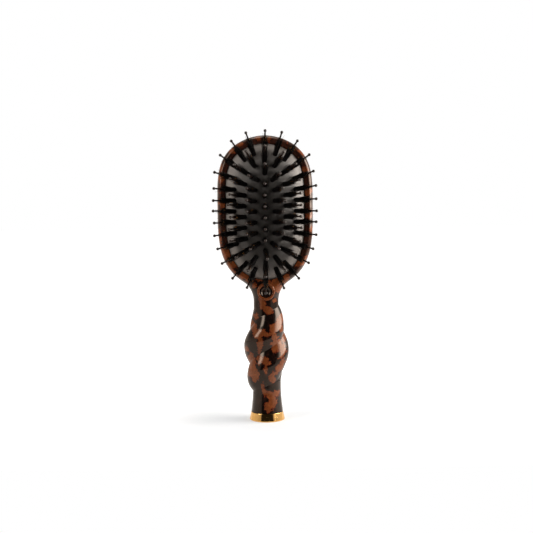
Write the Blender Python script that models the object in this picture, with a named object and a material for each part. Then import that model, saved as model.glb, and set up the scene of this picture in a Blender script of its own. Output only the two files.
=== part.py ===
"""A vanity hairbrush that stands upright on a gilt foot cap.

Frame: +Z runs up the handle, the bristles point to -Y, and +X is to the right seen from
the bristle side. The origin is the centre of the foot cap's flat underside. Units: metres.
"""

import math

import bmesh
import bpy
import numpy as np
from mathutils import Matrix, Vector

MM = 0.001
GAP = 0.3 * MM  # left between pieces that touch
BORE_GAP = 0.36 * MM  # left round a pin, whose bore has flat sides

# Head seen from the front, an oval:
# |x / half width|^WIDTH_POWER + |rise / half height|^HEIGHT_POWER = 1
HEAD_HALF_WIDTH = 37.3 * MM
HEAD_MIDDLE_Z = 170.0 * MM
HEAD_RISE = 53.5 * MM  # from the widest place to the top
HEAD_DROP = 65.8 * MM  # from the widest place to the oval's lower end
WIDTH_POWER = 1.8
HEIGHT_POWER = 3.65
FACE_DEPTH = 7.0 * MM  # the flat rim lies this far in front of the widest edge
FACE_ROUNDING = 3.4 * MM  # width of the rounded outer edge of the rim
BACK_DEPTH = 8.5 * MM

# Neck, where the head flares out of the handle
NECK_RADIUS = 9.7 * MM
NECK_Z = 94.0 * MM
FLARE_BOTTOM_Z = 74.0 * MM  # the neck's side is followed down to here
FLARE_END_Z = 109.6 * MM
FACE_START_Z = 120.0 * MM  # above here the front is the flat rim
FLARE_TOP_Z = 124.0 * MM  # the neck's close rows of points end here

# Twisted handle: two right-handed strands of two offset circles on a round core
TWIST_LEAD = 55.3 * MM  # one full turn
STRAND_OFFSET = 0.23  # circle offset as a share of its radius
STRAND_A_FRONT_Z = 70.6 * MM  # where the strand's crown faces the front
STRAND_A_REACH = (
    (23, 9.5), (29, 10.6), (34, 12.0), (38, 13.4), (43, 15.8), (49, 17.2), (56, 17.6),
    (63, 17.9), (70, 17.0), (76, 14.9), (83, 12.9), (88, 11.4), (93, 9.4),
)  # height and greatest radius, mm
STRAND_B_REACH = (
    (20, 10.0), (24, 12.6), (27, 14.1), (31, 15.3), (36, 16.4), (43, 17.4), (50, 17.8),
    (56, 17.6), (63, 17.2), (70, 16.0), (76, 13.5), (82, 11.2), (88, 9.9), (93, 9.3),
)
COLUMN_RADIUS = 11.1 * MM
COLUMN_TOP_Z = 40.0 * MM
COLUMN_FLARE_Z = 23.0 * MM
COLUMN_BASE_RADIUS = 12.5 * MM
TWIST_BASE_Z = 20.0 * MM  # the strands are inside the column below here

# Raised ring and shallow dish on the front of the neck
RING_Z = 102.0 * MM
RING_HALF_WIDTH = 5.9 * MM
RING_HALF_HEIGHT = 5.9 * MM
RING_THICKNESS = 2.0 * MM
DISH_DEPTH = 2.0 * MM
DISH_OVOID_DEPTH = 3.6 * MM  # half the depth of the ovoid that scoops the dish

# Recess in the head: distances in from the head's edge, and depths in Y
OPENING_INSET = 6.6 * MM
GROOVE_INSET = 4.8 * MM
GROOVE_FRONT_Y = -5.4 * MM
GROOVE_BACK_Y = -3.2 * MM
RECESS_FLOOR_Y = 3.0 * MM

# Pneumatic cushion: a rubber dome with a lip that sits in the groove
PAD_HEIGHT = 12.0 * MM  # crown above the rim
PAD_THICKNESS = 1.5 * MM
PAD_EDGE_Y = -6.2 * MM
PAD_POWER = 2.2
PAD_SHOULDER = 0.9
CORE_SHARE = 0.403  # length of the crown's ridge as a share of the cushion's length

# Tufts: (ring name, place between edge 0 and crown 1, count, tilt in degrees)
RINGS = (
    ("outer", 0.215, 28, 41.0),
    ("second", 0.475, 22, 29.0),
    ("third", 0.735, 16, 16.0),
)
CENTRE_COUNT = 6
CENTRE_PITCH = 8.4 * MM
CENTRE_TOP_Z = 184.5 * MM
SECTORS = ("upper_right", "lower_right", "lower_left", "upper_left")
PIN_LENGTH = 23.5 * MM
PIN_RADIUS = 0.45 * MM
BALL_RADIUS = 1.05 * MM
BUNDLE_LENGTH = 15.5 * MM
BUNDLE_RADIUS = 1.45 * MM
BUNDLE_TIP_RADIUS = 1.75 * MM
BUNDLE_ROOT_DEPTH = 2.6 * MM  # middle of the web that joins the bundles of one sector
PIN_ROOT_DEPTH = 3.9 * MM
WEB_THICKNESS = 0.7 * MM
WEB_WIDTH = 2.6 * MM
TUFT_SIDES = 5

# Oval frame that holds the cushion's lip in the groove
FRAME_INSET = 9.9 * MM
FRAME_RADIUS = 1.1 * MM

# Foot cap and the stud that holds it
CAP_HEIGHT = 6.4 * MM
CAP_TOP_RADIUS = 12.6 * MM
CAP_FOOT_RADIUS = 13.9 * MM
CAP_EDGE = 0.7 * MM
CAP_WALL = 0.6 * MM
CAP_FLOOR_Z = 3.4 * MM
STUD_RADIUS = 2.5 * MM
STUD_BASE_Z = 1.4 * MM
STUD_TOP_Z = 24.0 * MM
STUD_SIDES = 12
BORE_TIP = 2.0 * MM  # height of the drill's cone past the stud

BODY_COLUMNS = 24
OUTLINE_POINTS = 40
OVAL_ANGLES = 1441  # places worked out on one half of an oval
OVAL_STEPS = 1200  # equal steps round an oval before it is moved in
CONTOUR_STEPS = 240  # equal steps round a contour that tufts stand on
SILHOUETTE_ROWS = 700
CUTTER_REACH = 3.0 * MM  # how far a cutter passes the surface that it cuts
CUTTER_DEPTH = 1.1 * MM  # how far a cutter passes the pins' web


# ---- small helpers ----


def clear_scene():
    for obj in list(bpy.data.objects):
        bpy.data.objects.remove(obj, do_unlink=True)


def material(name, colour, roughness, metallic=0.0):
    found = bpy.data.materials.new(name)
    found.use_nodes = True
    shader = found.node_tree.nodes["Principled BSDF"]
    shader.inputs["Base Color"].default_value = (*colour, 1.0)
    shader.inputs["Roughness"].default_value = roughness
    shader.inputs["Metallic"].default_value = metallic
    return found


def add_object(name, bm, finish=None, hidden=False):
    """Turns a bmesh into an object, with faces out and smooth shading."""
    bmesh.ops.recalc_face_normals(bm, faces=bm.faces)
    mesh = bpy.data.meshes.new(name)
    bm.to_mesh(mesh)
    bm.free()
    mesh.shade_smooth()
    mesh.set_sharp_from_angle(angle=math.radians(35))
    obj = bpy.data.objects.new(name, mesh)
    bpy.context.scene.collection.objects.link(obj)
    if finish:
        mesh.materials.append(finish)
    if hidden:
        obj.hide_render = True
        obj.display_type = "WIRE"
    return obj


def boolean(obj, operation, other):
    modifier = obj.modifiers.new(operation.title(), "BOOLEAN")
    modifier.operation = operation
    modifier.solver = "EXACT"
    modifier.object = other


def smooth_step(value, low, high):
    share = min(max((value - low) / (high - low), 0.0), 1.0)
    return share * share * (3 - 2 * share)


def through(points, value):
    """A smooth curve through (place, size) points in mm, level at its ends."""
    places = [p[0] * MM for p in points]
    sizes = [p[1] * MM for p in points]
    if value <= places[0]:
        return sizes[0]
    if value >= places[-1]:
        return sizes[-1]
    i = int(np.searchsorted(places, value)) - 1
    slopes = np.gradient(sizes, places)
    step = places[i + 1] - places[i]
    t = (value - places[i]) / step
    return (
        (2 * t**3 - 3 * t**2 + 1) * sizes[i]
        + (t**3 - 2 * t**2 + t) * step * slopes[i]
        + (3 * t**2 - 2 * t**3) * sizes[i + 1]
        + (t**3 - t**2) * step * slopes[i + 1]
    )


def wrapped_grid(columns, rows, place, capped=True):
    """A grid rolled into a tube: place(u, v) gives the point at a share of the way round
    and a share of the way along. Ends that shrink to a point or a line close there."""
    bm = bmesh.new()
    bmesh.ops.create_grid(bm, x_segments=columns, y_segments=rows, size=1.0)
    for vert in bm.verts:
        u = round((vert.co.x + 1) / 2 * columns) % columns / columns
        v = round((vert.co.y + 1) / 2 * rows) / rows
        vert.co = place(u, v)
    bmesh.ops.remove_doubles(bm, verts=bm.verts, dist=0.002 * MM)
    if capped:
        bmesh.ops.holes_fill(bm, edges=[e for e in bm.edges if e.is_boundary], sides=0)
    return bm


def turned(profile, sides):
    """A solid of revolution about +Z from (radius, height) points, foot to tip."""
    bm = bmesh.new()
    verts = [bm.verts.new((radius, 0, height)) for radius, height in profile]
    edges = [bm.edges.new(pair) for pair in zip(verts, verts[1:])]
    bmesh.ops.spin(
        bm, geom=verts + edges, axis=(0, 0, 1), cent=(0, 0, 0),
        angle=2 * math.pi, steps=sides, use_merge=True,
    )
    bmesh.ops.remove_doubles(bm, verts=bm.verts, dist=0.002 * MM)
    return bm


def merged_copies(template, matrices):
    """One bmesh that holds a copy of the template at each matrix."""
    mesh = bpy.data.meshes.new("template")
    bmesh.ops.recalc_face_normals(template, faces=template.faces)
    template.to_mesh(mesh)
    template.free()
    bm = bmesh.new()
    for matrix in matrices:
        first = len(bm.verts)
        bm.from_mesh(mesh)
        bm.verts.ensure_lookup_table()
        bmesh.ops.transform(bm, matrix=matrix, verts=bm.verts[first:])
    bpy.data.meshes.remove(mesh)
    return bm


# ---- outlines ----


def egg_half_width(z):
    rise = HEAD_RISE if z > HEAD_MIDDLE_Z else HEAD_DROP
    share = min(abs(z - HEAD_MIDDLE_Z) / rise, 1.0)
    return HEAD_HALF_WIDTH * (1 - share**HEIGHT_POWER) ** (1 / WIDTH_POWER)


def half_width(z):
    """Half the body's width above the neck: a hollow fillet, then the head's oval."""
    if z >= FLARE_END_Z:
        return egg_half_width(z)
    out = egg_half_width(FLARE_END_Z) - NECK_RADIUS
    up = FLARE_END_Z - NECK_Z
    radius = (up * up + out * out) / (2 * out)
    along = min(max(z - NECK_Z, 0.0), up)
    return NECK_RADIUS + radius - math.sqrt(radius * radius - along * along)


def evenly(points, count):
    """Points at equal steps round a closed outline, from its first point."""
    loop = np.vstack([points, points[:1]])
    lengths = np.concatenate([[0], np.cumsum(np.linalg.norm(np.diff(loop, axis=0), axis=1))])
    wanted = np.linspace(0, lengths[-1], count, endpoint=False)
    return np.column_stack([np.interp(wanted, lengths, loop[:, i]) for i in (0, 1)])


def egg_outline(inset, count):
    """The head's oval moved in by inset: (x, z) points from the top, clockwise."""
    turn = np.linspace(0, math.pi, OVAL_ANGLES)
    rise = np.where(np.cos(turn) > 0, HEAD_RISE, HEAD_DROP)
    height = np.sign(np.cos(turn)) * np.abs(np.cos(turn)) ** (2 / HEIGHT_POWER)
    right = np.column_stack([
        HEAD_HALF_WIDTH * np.abs(np.sin(turn)) ** (2 / WIDTH_POWER),
        HEAD_MIDDLE_Z + rise * height,
    ])
    left = right[-2:0:-1] * (-1, 1)
    loop = evenly(np.vstack([right, left]), OVAL_STEPS)
    along = np.roll(loop, -1, axis=0) - np.roll(loop, 1, axis=0)
    along /= np.linalg.norm(along, axis=1)[:, None]
    inward = np.column_stack([along[:, 1], -along[:, 0]])
    return evenly(loop + inward * inset, count)


def pad_ring(share, count):
    """(x, z) points of the cushion's contour a share of the way from its edge to its crown."""
    edge = egg_outline(OPENING_INSET + GAP, count)
    middle = (edge[:, 1].max() + edge[:, 1].min()) / 2
    height_share = 1 - share * (1 - CORE_SHARE)
    return np.column_stack([
        edge[:, 0] * (1 - share), middle + (edge[:, 1] - middle) * height_share,
    ])


def pad_height(share):
    """The cushion's height above its edge, a share of the way from its edge to its crown."""
    return PAD_HEIGHT * (1 - (1 - share) ** PAD_POWER) ** PAD_SHOULDER


# ---- body: head, neck and twisted handle in one piece ----


def core_radius(z):
    flare = max(0.0, (COLUMN_FLARE_Z - z) / (COLUMN_FLARE_Z - CAP_HEIGHT))
    column = COLUMN_RADIUS + (COLUMN_BASE_RADIUS - COLUMN_RADIUS) * flare**1.5
    return column + (NECK_RADIUS - COLUMN_RADIUS) * smooth_step(z, COLUMN_TOP_Z, NECK_Z)


def strand_radius(turn, reach):
    """Distance from the axis to an offset circle, at an angle from the circle's crown."""
    radius = reach / (1 + STRAND_OFFSET)
    offset = reach - radius
    return offset * math.cos(turn) + math.sqrt(radius**2 - (offset * math.sin(turn)) ** 2)


def handle_radius(angle, z):
    """The twisted handle's radius. The angle runs from the front (-Y) towards +X."""
    crown = 2 * math.pi * (z - STRAND_A_FRONT_Z) / TWIST_LEAD
    return max(
        core_radius(z),
        strand_radius(angle - crown, through(STRAND_A_REACH, z)),
        strand_radius(angle - crown - math.pi, through(STRAND_B_REACH, z)),
    )


def body_silhouette():
    """The right-hand edge of the head and neck, as (x, z) points."""
    top = HEAD_MIDDLE_Z + HEAD_RISE
    fall = 1 - np.cos(np.linspace(0, math.pi / 2, SILHOUETTE_ROWS))
    heights = top - (top - FLARE_BOTTOM_Z) * fall
    return np.array([(half_width(z), z) for z in heights])


SILHOUETTE = body_silhouette()


def head_point(angle, z):
    """A point of the head or neck's skin, at a height and an angle from the front."""
    width = half_width(z)
    x = width * math.sin(angle)
    to_edge = np.hypot(SILHOUETTE[:, 0] - abs(x), SILHOUETTE[:, 1] - z).min()
    up = smooth_step(z, NECK_Z, FACE_START_Z)
    end = max(0.0, (z - HEAD_MIDDLE_Z) / HEAD_RISE) ** HEIGHT_POWER
    if math.cos(angle) > 0:
        depth = NECK_RADIUS + (FACE_DEPTH - NECK_RADIUS) * up
        rounding = NECK_RADIUS + (FACE_ROUNDING - NECK_RADIUS) * up
        share = min(to_edge / rounding, 1.0)
        return Vector((x, -depth * math.sqrt(1 - (1 - share) ** 2), z))
    depth = NECK_RADIUS + (BACK_DEPTH - NECK_RADIUS) * up
    power = 2 + (WIDTH_POWER - 2) * up
    share = abs(math.sin(angle)) ** power
    return Vector((x, depth * math.sqrt(max(0.0, (1 - end) * (1 - share))), z))


def body_point(angle, z):
    if z > NECK_Z:
        return head_point(angle, z)
    radius = handle_radius(angle, z)
    return Vector((radius * math.sin(angle), -radius * math.cos(angle), z))


def body_heights():
    """Rows of the body's skin, closer together where it curves."""
    top = HEAD_MIDDLE_Z + HEAD_RISE
    column = np.linspace(CAP_HEIGHT + GAP, TWIST_BASE_Z, 5, endpoint=False)
    twist = np.linspace(TWIST_BASE_Z, NECK_Z, 36, endpoint=False)
    flare = np.linspace(NECK_Z, FLARE_TOP_Z, 15, endpoint=False)
    sides = np.linspace(FLARE_TOP_Z, HEAD_MIDDLE_Z, 8, endpoint=False)
    crown = HEAD_MIDDLE_Z + HEAD_RISE * np.sin(np.linspace(0, math.pi / 2, 15))
    crown[-1] = top
    return np.concatenate([column, twist, flare, sides, crown])


def neck_ring():
    """The raised ring, which follows the neck's round front."""

    def place(u, v):
        turn = 2 * math.pi * v
        x = RING_HALF_WIDTH * math.sin(turn)
        z = RING_Z + RING_HALF_HEIGHT * math.cos(turn)
        centre = head_point(math.asin(x / half_width(z)), z)
        around = 2 * math.pi * u
        out = Vector((math.sin(turn), 0, math.cos(turn)))
        side = math.cos(around) * out + math.sin(around) * Vector((0, -1, 0))
        return centre + RING_THICKNESS / 2 * side

    bm = wrapped_grid(8, 28, place, capped=False)
    bmesh.ops.remove_doubles(bm, verts=bm.verts, dist=0.01 * MM)
    return add_object("neck_ring_shape", bm, hidden=True)


def dish_cutter():
    """An ovoid whose near end scoops the dish inside the ring."""
    bm = bmesh.new()
    bmesh.ops.create_uvsphere(bm, u_segments=20, v_segments=10, radius=1.0)
    width = RING_HALF_WIDTH - RING_THICKNESS / 2
    height = RING_HALF_HEIGHT - RING_THICKNESS / 2
    deepest = DISH_DEPTH - NECK_RADIUS
    bmesh.ops.scale(bm, vec=(width, DISH_OVOID_DEPTH, height), verts=bm.verts)
    bmesh.ops.translate(bm, vec=(0, deepest - DISH_OVOID_DEPTH, RING_Z), verts=bm.verts)
    return add_object("dish_cutter", bm, hidden=True)


def recess_cutter():
    """The space behind the opening, with the undercut groove for the cushion's lip."""
    levels = (
        (OPENING_INSET, -FACE_DEPTH - CUTTER_REACH),
        (OPENING_INSET, GROOVE_FRONT_Y),
        (GROOVE_INSET, GROOVE_FRONT_Y),
        (GROOVE_INSET, GROOVE_BACK_Y),
        (OPENING_INSET + 1.2 * MM, GROOVE_BACK_Y),
        (OPENING_INSET + 3.5 * MM, RECESS_FLOOR_Y),
    )
    rings = [egg_outline(inset, OUTLINE_POINTS) for inset, _ in levels]

    def place(u, v):
        level = round(v * (len(levels) - 1))
        x, z = rings[level][round(u * OUTLINE_POINTS)]
        return Vector((x, levels[level][1], z))

    bm = wrapped_grid(OUTLINE_POINTS, len(levels) - 1, place)
    return add_object("recess_cutter", bm, hidden=True)


def brush_body(finish):
    heights = body_heights()
    plug_radius = CAP_TOP_RADIUS - CAP_WALL - GAP
    plug_z = CAP_FLOOR_Z + GAP

    def place(u, v):
        angle = 2 * math.pi * u
        row = round(v * (len(heights) + 1))
        if row >= 2:
            return body_point(angle, heights[row - 2])
        z = (plug_z, heights[0])[row]
        return Vector((plug_radius * math.sin(angle), -plug_radius * math.cos(angle), z))

    bm = wrapped_grid(BODY_COLUMNS, len(heights) + 1, place)
    body = add_object("brush_body", bm, finish)
    boolean(body, "UNION", neck_ring())
    boolean(body, "DIFFERENCE", dish_cutter())
    boolean(body, "DIFFERENCE", recess_cutter())
    radius = STUD_RADIUS + GAP
    drilled = ((0, 0), (radius, 0), (radius, STUD_TOP_Z + GAP), (0, STUD_TOP_Z + BORE_TIP))
    bore = turned(drilled, STUD_SIDES)
    boolean(body, "DIFFERENCE", add_object("stud_bore", bore, hidden=True))
    return body


# ---- foot ----


def foot_cap(finish):
    """A shallow cup round the handle's end, with a blind bore for the stud."""
    corner = [
        (CAP_FOOT_RADIUS - CAP_EDGE * (1 - math.sin(a)), CAP_EDGE * (1 - math.cos(a)))
        for a in np.linspace(0, math.pi / 2, 4)
    ]
    profile = (
        (0, 0), *corner, (CAP_TOP_RADIUS, CAP_HEIGHT), (CAP_TOP_RADIUS - CAP_WALL, CAP_HEIGHT),
        (CAP_TOP_RADIUS - CAP_WALL, CAP_FLOOR_Z), (STUD_RADIUS + GAP, CAP_FLOOR_Z),
        (STUD_RADIUS + GAP, STUD_BASE_Z - GAP), (0, STUD_BASE_Z - GAP),
    )
    return add_object("foot_cap", turned(profile, 40), finish)


def cap_stud(finish):
    profile = (
        (0, STUD_BASE_Z), (STUD_RADIUS, STUD_BASE_Z), (STUD_RADIUS, STUD_TOP_Z), (0, STUD_TOP_Z),
    )
    return add_object("cap_stud", turned(profile, STUD_SIDES), finish)


# ---- cushion ----


def cushion_pad(finish, hole_cutter):
    """The rubber dome, its skirt and its lip: one membrane, open at the back."""
    domes = (0.0, 0.06, 0.14, 0.25, 0.4, 0.6, 0.8, 1.0)
    skirt = OPENING_INSET + GAP
    lip = GROOVE_INSET + GAP
    inner = skirt + PAD_THICKNESS
    lip_front = GROOVE_FRONT_Y + GAP
    lip_back = GROOVE_BACK_Y - GAP
    rings = []
    for share in reversed(domes):
        rings.append((pad_ring(share, OUTLINE_POINTS), PAD_EDGE_Y - pad_height(share)))
    rings.append((egg_outline(skirt, OUTLINE_POINTS), lip_front))
    rings.append((egg_outline(lip, OUTLINE_POINTS), lip_front))
    rings.append((egg_outline(lip, OUTLINE_POINTS), lip_back))
    rings.append((egg_outline(inner, OUTLINE_POINTS), lip_back))
    for share in domes[1:]:
        under = pad_ring(share, OUTLINE_POINTS)
        rings.append((under, PAD_EDGE_Y - pad_height(share) + pad_drop(share)))

    def place(u, v):
        points, y = rings[round(v * (len(rings) - 1))]
        x, z = points[round(u * OUTLINE_POINTS)]
        return Vector((x, y, z))

    bm = wrapped_grid(OUTLINE_POINTS, len(rings) - 1, place, capped=False)
    pad = add_object("cushion_pad", bm, finish)
    boolean(pad, "DIFFERENCE", hole_cutter)
    return pad


def pad_drop(share):
    """How far the cushion's inner face lies behind its outer one, measured along Y."""
    step = 0.01
    width = HEAD_HALF_WIDTH - OPENING_INSET
    low = max(share - step, 0.0)
    high = min(share + step, 1.0)
    slope = (pad_height(high) - pad_height(low)) / ((high - low) * width)
    return PAD_THICKNESS * math.sqrt(1 + slope * slope)


def pad_retaining_frame(finish):
    """The oval frame behind the cushion's lip."""
    path = egg_outline(FRAME_INSET, OUTLINE_POINTS)
    middle = Vector((0, 0, HEAD_MIDDLE_Z))
    y = GROOVE_BACK_Y - GAP

    def place(u, v):
        x, z = path[round(v * OUTLINE_POINTS) % OUTLINE_POINTS]
        centre = Vector((x, y, z))
        out = (Vector((x, 0, z)) - middle).normalized()
        around = 2 * math.pi * u
        return centre + FRAME_RADIUS * (math.cos(around) * out + math.sin(around) * Vector((0, 1, 0)))

    bm = wrapped_grid(6, OUTLINE_POINTS, place, capped=False)
    return add_object("pad_retaining_frame", bm, finish)


# ---- tufts ----


def tuft_frame(base, out, tilt):
    """A matrix whose origin is the tuft's foot on the cushion and whose Z is its axis."""
    angle = math.radians(tilt)
    axis = Vector((out.x * math.sin(angle), -math.cos(angle), out.z * math.sin(angle)))
    side = axis.cross(Vector((0, 0, 1))).normalized()
    up = side.cross(axis).normalized()
    matrix = Matrix((side, -up, axis)).transposed().to_4x4()
    matrix.translation = base
    return matrix


def ring_tufts(share, count, tilt):
    """Tuft frames round one contour of the cushion, from the top, clockwise."""
    points = evenly(pad_ring(share, CONTOUR_STEPS), count)
    along = np.roll(points, -1, axis=0) - np.roll(points, 1, axis=0)
    y = PAD_EDGE_Y - pad_height(share)
    frames = []
    for (x, z), (dx, dz) in zip(points, along):
        out = Vector((-dz, 0, dx)).normalized()
        frames.append(tuft_frame(Vector((x, y, z)), out, tilt))
    return frames


def centre_tufts():
    y = PAD_EDGE_Y - pad_height(1.0)
    return [
        tuft_frame(Vector((0, y, CENTRE_TOP_Z - CENTRE_PITCH * i)), Vector((0, 0, 0)), 0.0)
        for i in range(CENTRE_COUNT)
    ]


def sectors(name, frames):
    """Splits a ring's tufts into four neighbouring groups."""
    bounds = [round(len(frames) * i / 4) for i in range(5)]
    for sector, low, high in zip(SECTORS, bounds, bounds[1:]):
        yield f"{name}_{sector}", frames[low:high]


def web(frames, depth):
    """A flat strip that runs past the roots of neighbouring tufts, a depth below the dome."""
    roots = [f @ Vector((0, 0, -depth)) for f in frames]
    ends = [
        roots[0] + (roots[0] - roots[1]).normalized() * WEB_WIDTH / 2,
        roots[-1] + (roots[-1] - roots[-2]).normalized() * WEB_WIDTH / 2,
    ]
    path = [ends[0], *roots, ends[1]]
    axes = [frames[0], *frames, frames[-1]]

    def place(u, v):
        i = round(v * (len(path) - 1))
        before = path[max(i - 1, 0)]
        after = path[min(i + 1, len(path) - 1)]
        axis = axes[i].col[2].xyz
        across = axis.cross(after - before).normalized()
        corner = round(u * 4) % 4
        side = (1, 1, -1, -1)[corner] * WEB_WIDTH / 2
        lift = (1, -1, -1, 1)[corner] * WEB_THICKNESS / 2
        return path[i] + across * side + axis * lift

    return wrapped_grid(4, len(path) - 1, place)


def hole_cutter(frames):
    radius = BUNDLE_RADIUS + GAP
    low = -PIN_ROOT_DEPTH - CUTTER_DEPTH
    profile = ((0, low), (radius, low), (radius, CUTTER_REACH), (0, CUTTER_REACH))
    holes = merged_copies(turned(profile, TUFT_SIDES), frames)
    return add_object("hole_cutter", holes, hidden=True)


def pin_group(name, frames, finish):
    """Nylon pins with ball tips, which share one web behind the cushion."""
    ball = [
        (BALL_RADIUS * math.sin(a), PIN_LENGTH - BALL_RADIUS * (1 + math.cos(a)))
        for a in (0.44, 1.3, 2.2)
    ]
    profile = (
        (0, -PIN_ROOT_DEPTH), (PIN_RADIUS, -PIN_ROOT_DEPTH), *ball, (0, PIN_LENGTH),
    )
    shanks = merged_copies(turned(profile, TUFT_SIDES), frames)
    pins = add_object(f"{name}_shape", shanks, hidden=True)
    group = add_object(name, web(frames, PIN_ROOT_DEPTH), finish)
    boolean(group, "UNION", pins)
    return group


def bristle_group(name, frames, finish):
    """Boar bristle bundles round the pins, which share one web behind the cushion."""
    bore = PIN_RADIUS + BORE_GAP
    top = BUNDLE_LENGTH + CUTTER_REACH
    low = -PIN_ROOT_DEPTH - CUTTER_DEPTH
    outer = (
        (0, -BUNDLE_ROOT_DEPTH), (BUNDLE_RADIUS, -BUNDLE_ROOT_DEPTH),
        (BUNDLE_TIP_RADIUS, BUNDLE_LENGTH), (0, BUNDLE_LENGTH),
    )
    inner = ((0, low), (bore, low), (bore, top), (0, top))
    bundles = merged_copies(turned(outer, TUFT_SIDES), frames)
    bores = merged_copies(turned(inner, TUFT_SIDES), frames)
    group = add_object(name, web(frames, BUNDLE_ROOT_DEPTH), finish)
    boolean(group, "UNION", add_object(f"{name}_shape", bundles, hidden=True))
    boolean(group, "DIFFERENCE", add_object(f"{name}_bores", bores, hidden=True))
    return group


# ---- assembly ----


def build():
    clear_scene()
    acetate = material("tortoiseshell_acetate", (0.16, 0.055, 0.025), 0.1)
    rubber = material("cushion_rubber", (0.055, 0.05, 0.048), 0.55)
    frame_plastic = material("frame_plastic", (0.05, 0.05, 0.05), 0.4)
    nylon = material("dark_nylon", (0.035, 0.018, 0.012), 0.25)
    bristle = material("boar_bristle", (0.012, 0.009, 0.008), 0.5)
    gilt = material("gilt_brass", (0.9, 0.62, 0.22), 0.12, 1.0)
    steel = material("stud_steel", (0.6, 0.6, 0.6), 0.3, 1.0)

    groups = []
    for name, share, count, tilt in RINGS:
        groups.extend(sectors(name, ring_tufts(share, count, tilt)))
    groups.append(("centre", centre_tufts()))
    everywhere = [f for _, frames in groups for f in frames]

    brush_body(acetate)
    foot_cap(gilt)
    cap_stud(steel)
    cushion_pad(rubber, hole_cutter(everywhere))
    pad_retaining_frame(frame_plastic)
    for name, frames in groups:
        pin_group(f"pins_{name}", frames, nylon)
        bristle_group(f"bristles_{name}", frames, bristle)


build()
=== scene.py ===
"""Looks for a vanity hairbrush that stands upright on a gilt foot cap.

Frame: +Z runs up the handle, the bristles point to -Y, and +X is to the right seen from
the bristle side. Units: metres. Sizes in tables are in millimetres where a name says so.
"""

import math

import bmesh
import bpy
import numpy as np
from mathutils import Euler, Matrix, Vector, kdtree


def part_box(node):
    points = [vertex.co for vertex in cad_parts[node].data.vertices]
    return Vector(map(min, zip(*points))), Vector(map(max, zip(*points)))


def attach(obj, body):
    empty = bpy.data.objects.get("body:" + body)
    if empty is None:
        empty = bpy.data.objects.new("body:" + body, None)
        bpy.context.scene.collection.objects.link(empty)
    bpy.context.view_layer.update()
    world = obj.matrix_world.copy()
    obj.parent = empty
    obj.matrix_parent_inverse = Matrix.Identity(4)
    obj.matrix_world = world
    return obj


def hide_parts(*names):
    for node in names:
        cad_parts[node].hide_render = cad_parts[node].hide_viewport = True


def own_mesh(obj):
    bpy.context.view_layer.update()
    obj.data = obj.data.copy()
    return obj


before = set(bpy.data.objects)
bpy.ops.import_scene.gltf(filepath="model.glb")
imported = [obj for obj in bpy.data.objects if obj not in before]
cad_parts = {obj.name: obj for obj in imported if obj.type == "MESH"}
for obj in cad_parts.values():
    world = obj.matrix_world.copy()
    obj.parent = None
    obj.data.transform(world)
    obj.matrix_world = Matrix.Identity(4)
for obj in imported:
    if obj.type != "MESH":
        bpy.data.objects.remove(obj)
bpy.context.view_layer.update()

bl_info = {
    "name": "Standing Hairbrush",
    "version": (1, 0, 0),
    "blender": (4, 5, 0),
    "location": "3D View > Sidebar > Hairbrush",
    "description": "Models and finishes a tortoiseshell hairbrush with a gilt foot",
    "category": "Object",
}

MM = 0.001
GAP = 0.3 * MM  # left between pieces that touch

# Head seen from the front: |x / half width|^WIDTH_POWER + |rise / half height|^HEIGHT_POWER = 1
HEAD_HALF_WIDTH = 37.3 * MM
HEAD_MIDDLE_Z = 170.0 * MM
HEAD_RISE = 53.5 * MM
HEAD_DROP = 65.8 * MM
WIDTH_POWER = 1.8
HEIGHT_POWER = 3.65
FACE_DEPTH = 7.0 * MM
FACE_ROUNDING = 3.4 * MM
BACK_DEPTH = 8.5 * MM

# Neck and twisted handle
NECK_RADIUS = 9.7 * MM
NECK_Z = 94.0 * MM
FLARE_END_Z = 109.6 * MM
FACE_START_Z = 120.0 * MM
TWIST_LEAD = 55.3 * MM
STRAND_OFFSET = 0.23
STRAND_A_FRONT_Z = 70.6 * MM
STRAND_A_REACH_MM = (
    (23, 9.5), (29, 10.6), (34, 12.0), (38, 13.4), (43, 15.8), (49, 17.2), (56, 17.6),
    (63, 17.9), (70, 17.0), (76, 14.9), (83, 12.9), (88, 11.4), (93, 9.4),
)
STRAND_B_REACH_MM = (
    (20, 10.0), (24, 12.6), (27, 14.1), (31, 15.3), (36, 16.4), (43, 17.4), (50, 17.8),
    (56, 17.6), (63, 17.2), (70, 16.0), (76, 13.5), (82, 11.2), (88, 9.9), (93, 9.3),
)
COLUMN_RADIUS = 11.1 * MM
COLUMN_TOP_Z = 40.0 * MM
COLUMN_FLARE_Z = 23.0 * MM
COLUMN_BASE_RADIUS = 12.5 * MM

# Raised ring and dish on the front of the neck
RING_Z = 102.0 * MM
RING_HALF_WIDTH = 5.9 * MM
RING_HALF_HEIGHT = 5.9 * MM
RING_THICKNESS = 2.0 * MM
DISH_DEPTH = 2.0 * MM
DISH_OVOID_DEPTH = 3.6 * MM

# Recess in the head
OPENING_INSET = 6.6 * MM
GROOVE_INSET = 4.8 * MM
GROOVE_FRONT_Y = -5.4 * MM
GROOVE_BACK_Y = -3.2 * MM
RECESS_FLOOR_Y = 3.0 * MM

# Pneumatic cushion
PAD_HEIGHT = 12.0 * MM
PAD_THICKNESS = 1.5 * MM
PAD_EDGE_Y = -6.2 * MM
PAD_POWER = 2.2
PAD_SHOULDER = 0.9
CORE_SHARE = 0.403

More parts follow.
